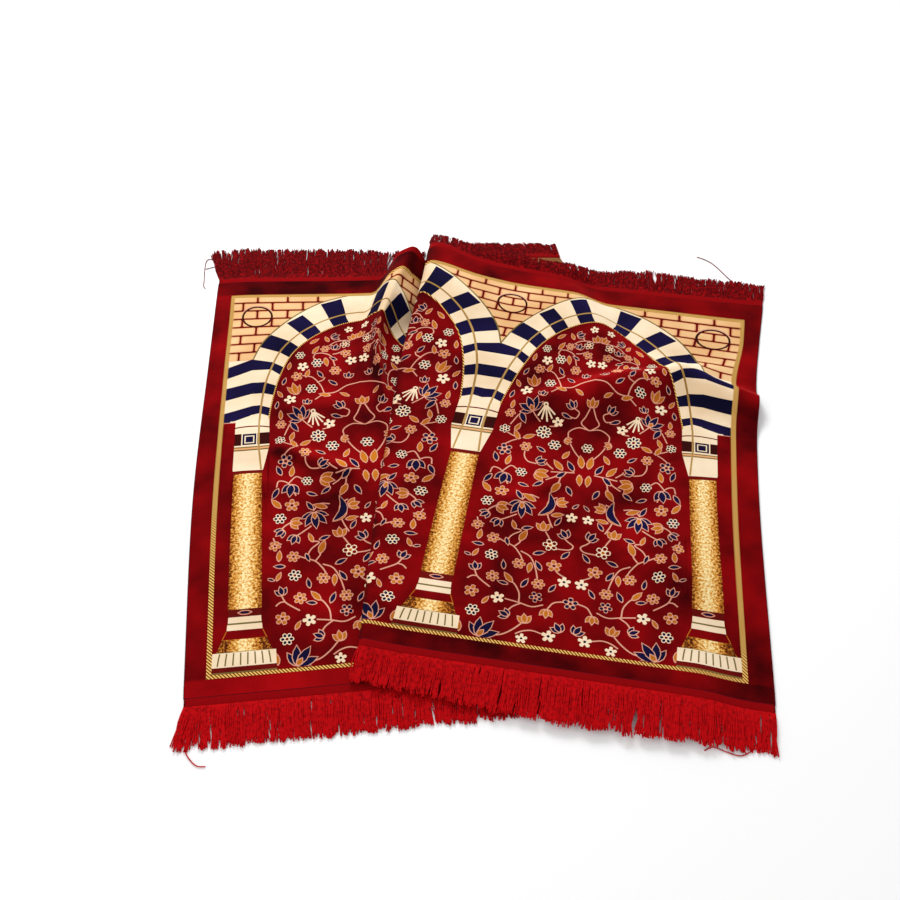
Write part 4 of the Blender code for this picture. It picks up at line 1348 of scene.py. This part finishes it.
def make_pile(key, finish, colour, shade):
    """Cut pile: colour and shade mixed in fine tufts and broad brushed patches, plus painted light and
    shade by facing and along the margins; shafts and the gold line have their own mix.
    """
    material, tree = empty_material(finish)
    place = add_node(tree, "ShaderNodeUVMap", uv_map="cloth").outputs["UV"]
    noise = add_node(tree, "ShaderNodeTexNoise", {
        "Vector": place, "Scale": 1 / TUFT_SIZE, "Detail": 2.0})
    tufts = noise.outputs["Fac"]
    if key == "shaft":
        tone = shaft_veins(tree, place)
    elif key == "frame":
        twill = add_node(tree, "ShaderNodeTexWave", {
            "Vector": place, "Scale": WAVE_LENGTH / TWILL_PITCH},
            wave_type="BANDS", bands_direction="DIAGONAL")
        tone = two_tone(tree, twill.outputs["Fac"], *TWILL_RANGE, shade, colour)
    else:
        tone = two_tone(tree, brushed_with_painted_shade(tree, tufts, place), *PATCH_RANGE, shade, colour)
    add_shader(tree, {"Base Color": tone, "Roughness": PILE_ROUGH, "Specular IOR Level": PILE_GLOSS,
                      "Sheen Weight": SHEEN, "Sheen Roughness": SHEEN_ROUGH},
               tufts, TUFT_RELIEF, TUFT_DEPTH)
    return material


for pile_row in PILES:
    cloth_mesh.materials.append(make_pile(**pile_row))
print("finishes of pile:", len(cloth_mesh.materials))


# %% thread and yarn
THREAD_ROUGH = 0.8
THREAD_RELIEF = 0.6
THREAD_DEPTH = 0.0008
YARN_GLOSS = 0.05
YARN_STREAK = 0.006
# Painted light: the yarn is painted lighter towards the front, by this share a metre.
YARN_PAINTED_FRONT_LIGHT = -0.30
YARN_RANGE = (0.27, 0.72)


def make_thread(finish, colour, shade, pitch):
    """Yarn laid side by side: fine dark lines at the thread's pitch."""
    material, tree = empty_material(finish)
    place = add_node(tree, "ShaderNodeUVMap", uv_map="cloth")
    lines = add_node(tree, "ShaderNodeTexWave", {
        "Vector": place.outputs["UV"], "Scale": WAVE_LENGTH / pitch, "Distortion": 0.6,
        "Detail": 1.0}, wave_type="BANDS", bands_direction="X")
    tone = two_tone(tree, lines.outputs["Fac"], 0.0, 1.0, shade, colour)
    add_shader(tree, {"Base Color": tone, "Roughness": THREAD_ROUGH,
                      "Specular IOR Level": PILE_GLOSS},
               lines.outputs["Fac"], THREAD_RELIEF, THREAD_DEPTH)
    return material


def make_yarn(finish, colour, shade):
    """Loose twisted yarn: soft streaks from strand to strand, and painted light that makes it lighter
    towards the front.
    """
    material, tree = empty_material(finish)
    place = add_node(tree, "ShaderNodeTexCoord").outputs["Object"]
    streaks = add_node(tree, "ShaderNodeTexNoise", {
        "Vector": place, "Scale": 1 / YARN_STREAK, "Detail": 3.0})
    split = add_node(tree, "ShaderNodeSeparateXYZ", (place,))
    lighter = add_node(tree, MATH, (split.outputs["Y"], YARN_PAINTED_FRONT_LIGHT, streaks.outputs["Fac"]),
                       operation="MULTIPLY_ADD")
    tone = two_tone(tree, lighter.outputs[0], *YARN_RANGE, shade, colour)
    add_shader(tree, {"Base Color": tone, "Roughness": THREAD_ROUGH,
                      "Specular IOR Level": YARN_GLOSS})
    return material


# Tan ground weave, seen only where the back shows in the fold.
cloth_mesh.materials.append(make_thread("tan_ground_weave", "#9A6C42", "#6B4426", 0.0022))
# Dark purple-red yarn wound over the side edges: a thin dark outline to the rug.
cloth_mesh.materials.append(make_thread("dark_red_edge_yarn", "#6A0E1A", "#3C0710", 0.0026))
# Bright red yarn: its colour is painted brighter than the pile, a painted highlight for the light along
# its threads.
yarn = make_yarn("bright_red_yarn", "#BE080F", "#560206")
# Red tape with fine ribs across it, the heading that the fringe hangs from.
tape_finish = make_thread("red_ribbed_tape", "#98050A", "#7A0408", 0.0020)
print("finishes on the cloth:", len(cloth_mesh.materials))

# %% [markdown]
# ## Fringe
#
# A narrow woven tape holds the fringe. Each strand of yarn starts at the tape, falls to the floor or
# to the layer under it, and leans a little towards the middle of its lock. One small table gives
# the length and the resting height along each edge. The strands are grown by a node tree from one
# guide point each, which carries the strand's run as named values.

# %% fringe tables
TAPE_WIDTH = 0.016
TAPE_THICK = 0.0030
FRINGE_COLUMNS = ("cloth", "front_length", "back_length", "front_tip", "back_tip")
FRINGE_ROWS = (
    (0.000, 0.076, 0.110, 0.0015, 0.0015),
    (0.340, 0.074, 0.104, 0.0015, 0.0015),
    (0.600, 0.072, 0.078, 0.0015, 0.0015),
    (0.866, 0.064, 0.058, 0.0015, 0.0015),
    (0.874, 0.064, 0.058, 0.0066, 0.0015),
    (0.888, 0.060, 0.058, 0.0066, 0.0015),
    (0.922, 0.060, 0.058, 0.0066, 0.0015),
    (0.938, 0.060, 0.058, 0.0066, 0.0120),
    (1.346, 0.060, 0.058, 0.0066, 0.0120),
    (1.370, 0.060, 0.046, 0.0066, 0.0520),
    (1.466, 0.062, 0.044, 0.0066, 0.0480),
    (1.484, 0.064, 0.044, 0.0125, 0.0480),
    (1.600, 0.068, 0.040, 0.0125, 0.0440),
    (1.660, 0.074, 0.038, 0.0125, 0.0380),
    (1.740, 0.080, 0.050, 0.0125, 0.0280),
    (1.840, 0.084, 0.058, 0.0125, 0.0015),
    (1.940, 0.084, 0.076, 0.0125, 0.0015),
    (2.060, 0.080, 0.066, 0.0125, 0.0015),
    (2.150, 0.076, 0.064, 0.0015, 0.0015),
    (CLOTH_WIDTH, 0.074, 0.056, 0.0015, 0.0015),
)
FRINGE = np.array(FRINGE_ROWS)
STRANDS = 4200
STRANDS_IN_LOCK = 9
STRAND_RADIUS = 0.00110
STRAND_SEED = 21
LEVEL_ENOUGH = 0.55
# At the left corners the strands spread out sideways.
SPREAD = {"front": 0.020, "back": 0.030}
SPREAD_WIDTH = 0.035
# How the locks and their strands differ: lengths as shares, the rest in metres.
ROOT_PLACES = (0.1, 0.9)
LOCK_LENGTHS = (0.93, 1.05)
STRAND_LENGTHS = (0.88, 1.03)
LOCK_SWAY = 0.0030
STRAND_SWAY = 0.0022
STRAND_LIFT = 0.0022
BOW_SIDE = 0.0022
BOW_LIFT = 0.0020
BOW_WAVE = 1.3
BOW_END = 0.82
GATHER = 0.20
ROOT_INSET = 0.001
print("strands on each side before the steep ones are left out:", STRANDS)


# %% the tape
# For each side, which way it points and the place of the cloth's edge there.
SIDES = {"front": (-1.0, 0.0), "back": (1.0, CLOTH_DEPTH)}
TAPE_STEP = 0.006
# Round the tape: the share of its width and the share of half its thickness.
TAPE_SECTION = ((0.0, 0.7), (0.15, 1.0), (0.5, 0.8), (0.85, 1.0), (1.0, 0.6), (1.0, -0.6),
                (0.5, -1.0), (0.0, -0.7))
IN_LINE = 0.015


def past_edge(u, v):
    """Point of the cloth, or in line with it for places past its front or back edge."""
    at_edge = np.clip(v, 0.0, CLOTH_DEPTH)
    here = cloth_point(u, at_edge)
    inner = cloth_point(u, np.clip(v, IN_LINE, CLOTH_DEPTH - IN_LINE))
    return here + (here - inner) * (np.abs(v - at_edge) / IN_LINE)[:, None]


def make_tape(side):
    """The tape along an edge, as a closed tube through rings of points."""
    outward, edge = SIDES[side]
    us = np.linspace(0.0, CLOTH_WIDTH, round(CLOTH_WIDTH / TAPE_STEP) + 1)
    normal = cloth_normal(us, np.full_like(us, edge))
    rings = []
    for across, level in TAPE_SECTION:
        v = np.full_like(us, edge + outward * across * TAPE_WIDTH)
        rings.append(past_edge(us, v) + normal * (level * TAPE_THICK / 2))
    levels, count = len(rings), len(us)
    faces = []
    uvs = []
    for level in range(levels):
        after = (level + 1) % levels
        over = (TAPE_SECTION[level][0] * TAPE_WIDTH, TAPE_SECTION[after][0] * TAPE_WIDTH)
        for step in range(count - 1):
            quad = (level * count + step, level * count + step + 1,
                    after * count + step + 1, after * count + step)
            corner_uv = ((us[step], over[0]), (us[step + 1], over[0]),
                         (us[step + 1], over[1]), (us[step], over[1]))
            faces.append(quad if side == "back" else quad[::-1])
            uvs.extend(corner_uv if side == "back" else corner_uv[::-1])
    for end in (0, count - 1):
        cap = [level * count + end for level in range(levels)]
        flip = (end == 0) == (side == "back")
        faces.append(cap[::-1] if flip else cap)
        uvs.extend([(us[end], 0.0)] * levels)
    mesh = bpy.data.meshes.new("tape_" + side)
    mesh.from_pydata(np.concatenate(rings).tolist(), [], faces)
    layer = mesh.uv_layers.new(name="cloth")
    layer.data.foreach_set("uv", np.array(uvs, dtype=np.float32).ravel())
    return mesh


print("tape:", TAPE_WIDTH, "m wide,", len(TAPE_SECTION), "points round it")


# %% guides for the strands
def strand_guides(side):
    """Root, run and sideways bow of each strand along one edge."""
    outward, edge = SIDES[side]
    rng = np.random.default_rng(STRAND_SEED)
    us = (np.arange(STRANDS) + rng.uniform(*ROOT_PLACES, STRANDS)) * CLOTH_WIDTH / STRANDS
    lock = np.arange(STRANDS) // STRANDS_IN_LOCK
    locks = lock.max() + 1
    lock_u = np.bincount(lock, us) / np.bincount(lock)
    at_root = np.full_like(us, edge + outward * (TAPE_WIDTH - ROOT_INSET))
    root = past_edge(us, at_root)
    heading = root - cloth_point(us, np.full_like(us, edge))
    heading[:, 2] = 0.0
    heading = unit(heading)
    side_step = cloth_point(us + BORDER_STEP, at_root) - cloth_point(us - BORDER_STEP, at_root)
    size = np.linalg.norm(side_step, axis=1)
    level_share = np.hypot(side_step[:, 0], side_step[:, 1]) / np.maximum(size, 1e-9)
    level = side_step * (1, 1, 0)
    level /= np.maximum(np.linalg.norm(level, axis=1, keepdims=True), 1e-9)
    length, tip = (np.interp(us, FRINGE[:, 0], FRINGE[:, FRINGE_COLUMNS.index(side + what)])
                   for what in ("_length", "_tip"))
    lock_length = rng.uniform(*LOCK_LENGTHS, locks)[lock]
    lock_sway = rng.normal(0.0, LOCK_SWAY, locks)[lock]
    length = length * lock_length * rng.uniform(*STRAND_LENGTHS, STRANDS)
    gather = (lock_u[lock] - us) * GATHER + lock_sway + rng.normal(0.0, STRAND_SWAY, STRANDS)
    gather -= SPREAD[side] * np.clip(1 - us / SPREAD_WIDTH, 0.0, 1.0)
    run = heading * length[:, None] + level * gather[:, None]
    bow = level * rng.normal(0.0, BOW_SIDE, STRANDS)[:, None]
    bow[:, 2] = rng.uniform(0.0, BOW_LIFT, STRANDS)
    # The wave of the bow ends below its middle line, so the tip is lifted by as much.
    run[:, 2] = tip + rng.uniform(0.0, STRAND_LIFT, STRANDS) + BOW_END * bow[:, 2] - root[:, 2]
    kept = level_share > LEVEL_ENOUGH
    return {"root": root[kept], "run": run[kept], "bow": bow[kept]}


print("strands in a lock:", STRANDS_IN_LOCK)


# %% loose threads
# Threads that have worked loose and lie on the floor: their side and their run in millimetres.
LOOSE = table(
    ("side", "run"),
    ("back", ((-632, 584), (-668, 592), (-688, 600), (-697, 592), (-696, 560), (-691, 520),
              (-689, 500), (-683, 490))),
    ("back", ((-632, 578), (-664, 574), (-694, 562))),
    ("back", ((594, 478), (588, 505), (574, 534), (552, 577), (534, 597), (514, 609))),
    ("front", ((-534, -640), (-529, -658), (-519, -672), (-506, -682), (-492, -683))),
    ("front", ((416, -622), (408, -646), (394, -658), (376, -665), (354, -658), (334, -650),
               (319, -656))))
LOOSE_RADIUS = 0.0010
LOOSE_LIFT = 0.0004


def evaluated_mesh(obj):
    """What an object's modifiers or bevel make, as a plain mesh."""
    bpy.context.view_layer.update()
    depsgraph = bpy.context.evaluated_depsgraph_get()
    return bpy.data.meshes.new_from_object(obj.evaluated_get(depsgraph))


def loose_threads(side):
    """A thin tube along each loose thread of one side, level on the floor."""
    data = bpy.data.curves.new("loose_" + side, "CURVE")
    data.dimensions = "3D"
    data.bevel_depth = LOOSE_RADIUS
    data.bevel_resolution = 1
    data.use_fill_caps = True
    for loose in LOOSE:
        if loose["side"] == side:
            line = smooth(loose["run"], 5) * MM
            spline = data.splines.new("POLY")
            spline.points.add(len(line) - 1)
            for point, (x, y) in zip(spline.points, line):
                point.co = (x, y, LOOSE_RADIUS + LOOSE_LIFT, 1.0)
    holder = add_object("loose_" + side, data)
    mesh = evaluated_mesh(holder)
    bpy.data.objects.remove(holder)
    return mesh


print("loose threads:", len(LOOSE))


# %% grow the strands
STRAND_STEPS = 6
STRAND_SIDES = 4
TIP_TAPER = -0.30


def strand_tree(material):
    """Node tree: one bent, tapered tube for each guide point."""
    tree = bpy.data.node_groups.new("strand_growth", "GeometryNodeTree")
    sockets = {}
    for name, way, kind in (("Guides", "INPUT", "Geometry"), ("Steps", "INPUT", "Int"),
                            ("Radius", "INPUT", "Float"), ("Strands", "OUTPUT", "Geometry")):
        sockets[name] = tree.interface.new_socket(name, in_out=way, socket_type="NodeSocket" + kind)
    sockets["Steps"].default_value = STRAND_STEPS
    sockets["Radius"].default_value = STRAND_RADIUS
    source = add_node(tree, "NodeGroupInput")
    unit_line = add_node(tree, "GeometryNodeCurvePrimitiveLine", {"End": (0.0, 0.0, 1.0)})
    line = add_node(tree, "GeometryNodeResampleCurve", {
        "Curve": unit_line.outputs["Curve"], "Count": source.outputs["Steps"]})
    spread = add_node(tree, "GeometryNodeInstanceOnPoints", {
        "Points": source.outputs["Guides"], "Instance": line.outputs["Curve"]})
    real = add_node(tree, "GeometryNodeRealizeInstances", {"Geometry": spread.outputs["Instances"]})
    values = {}
    for name in ("root", "run", "bow"):
        values[name] = add_node(tree, "GeometryNodeInputNamedAttribute", {"Name": name},
                                data_type="FLOAT_VECTOR").outputs["Attribute"]
    along = add_node(tree, "GeometryNodeSplineParameter").outputs["Factor"]
    rest = add_node(tree, MATH, (2.0, along), operation="SUBTRACT")
    fall = add_node(tree, MATH, (along, rest.outputs[0]), operation="MULTIPLY")
    stretch = add_node(tree, "ShaderNodeCombineXYZ", (along, along, fall.outputs[0]))
    reach = add_node(tree, "ShaderNodeVectorMath", (values["run"], stretch.outputs[0], values["root"]),
                     operation="MULTIPLY_ADD")
    turn = add_node(tree, MATH, (along, math.pi * BOW_WAVE), operation="MULTIPLY")
    wave = add_node(tree, MATH, (turn.outputs[0],), operation="SINE")
    bent = add_node(tree, "ShaderNodeVectorMath", {0: values["bow"], "Scale": wave.outputs[0]},
                    operation="SCALE")
    place = add_node(tree, "ShaderNodeVectorMath", (reach.outputs[0], bent.outputs[0]),
                     operation="ADD")
    moved = add_node(tree, "GeometryNodeSetPosition", {
        "Geometry": real.outputs["Geometry"], "Position": place.outputs[0]})
    taper = add_node(tree, MATH, (along, TIP_TAPER, 1.0), operation="MULTIPLY_ADD")
    sized = add_node(tree, "GeometryNodeSetCurveRadius", {
        "Curve": moved.outputs["Geometry"], "Radius": taper.outputs[0]})
    ring = add_node(tree, "GeometryNodeCurvePrimitiveCircle", {
        "Resolution": STRAND_SIDES, "Radius": source.outputs["Radius"]})
    tube = add_node(tree, "GeometryNodeCurveToMesh", {
        "Curve": sized.outputs["Curve"], "Profile Curve": ring.outputs["Curve"], "Fill Caps": True})
    flat = add_node(tree, "GeometryNodeRealizeInstances", {"Geometry": tube.outputs["Mesh"]})
    finish = add_node(tree, "GeometryNodeSetMaterial", {
        "Geometry": flat.outputs["Geometry"], "Material": material})
    add_node(tree, "NodeGroupOutput", {"Strands": finish.outputs["Geometry"]})
    return tree, sockets["Radius"].identifier


def grow_fringe(side, growth, radius_input):
    """One fringe: its grown strands, its loose threads and its tape in one mesh."""
    guides = bpy.data.meshes.new("guides_" + side)
    values = strand_guides(side)
    guides.from_pydata(values["root"].tolist(), [], [])
    for name, value in values.items():
        attribute = guides.attributes.new(name, "FLOAT_VECTOR", "POINT")
        attribute.data.foreach_set("vector", value.astype(np.float32).ravel())
    strands = add_object("yarn_fringe_" + side, guides)
    modifier = strands.modifiers.new("growth", "NODES")
    modifier.node_group = growth
    modifier[radius_input] = STRAND_RADIUS
    both = bmesh.new()
    both.from_mesh(evaluated_mesh(strands))
    strands.modifiers.remove(modifier)
    both.from_mesh(loose_threads(side))
    strand_faces = len(both.faces)
    both.from_mesh(make_tape(side))
    both.faces.ensure_lookup_table()
    for face in both.faces:
        face.smooth = True
        face.material_index = 0 if face.index < strand_faces else 1
    bmesh.ops.triangulate(both, faces=both.faces)
    strands.data = bpy.data.meshes.new("yarn_fringe_" + side)
    both.to_mesh(strands.data)
    both.free()
    for finish in (yarn, tape_finish):
        strands.data.materials.append(finish)
    print(side, "fringe:", len(values["root"]), "strands,", len(strands.data.polygons), "triangles")
    return strands


strand_growth = strand_tree(yarn)
fringes = {side: grow_fringe(side, *strand_growth) for side in ("front", "back")}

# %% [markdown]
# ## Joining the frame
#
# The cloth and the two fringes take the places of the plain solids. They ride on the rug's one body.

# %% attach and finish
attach(cloth, "root")
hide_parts("rug_cloth")
for side, fringe in fringes.items():
    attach(fringe, "root")
    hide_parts("fringe_" + side)
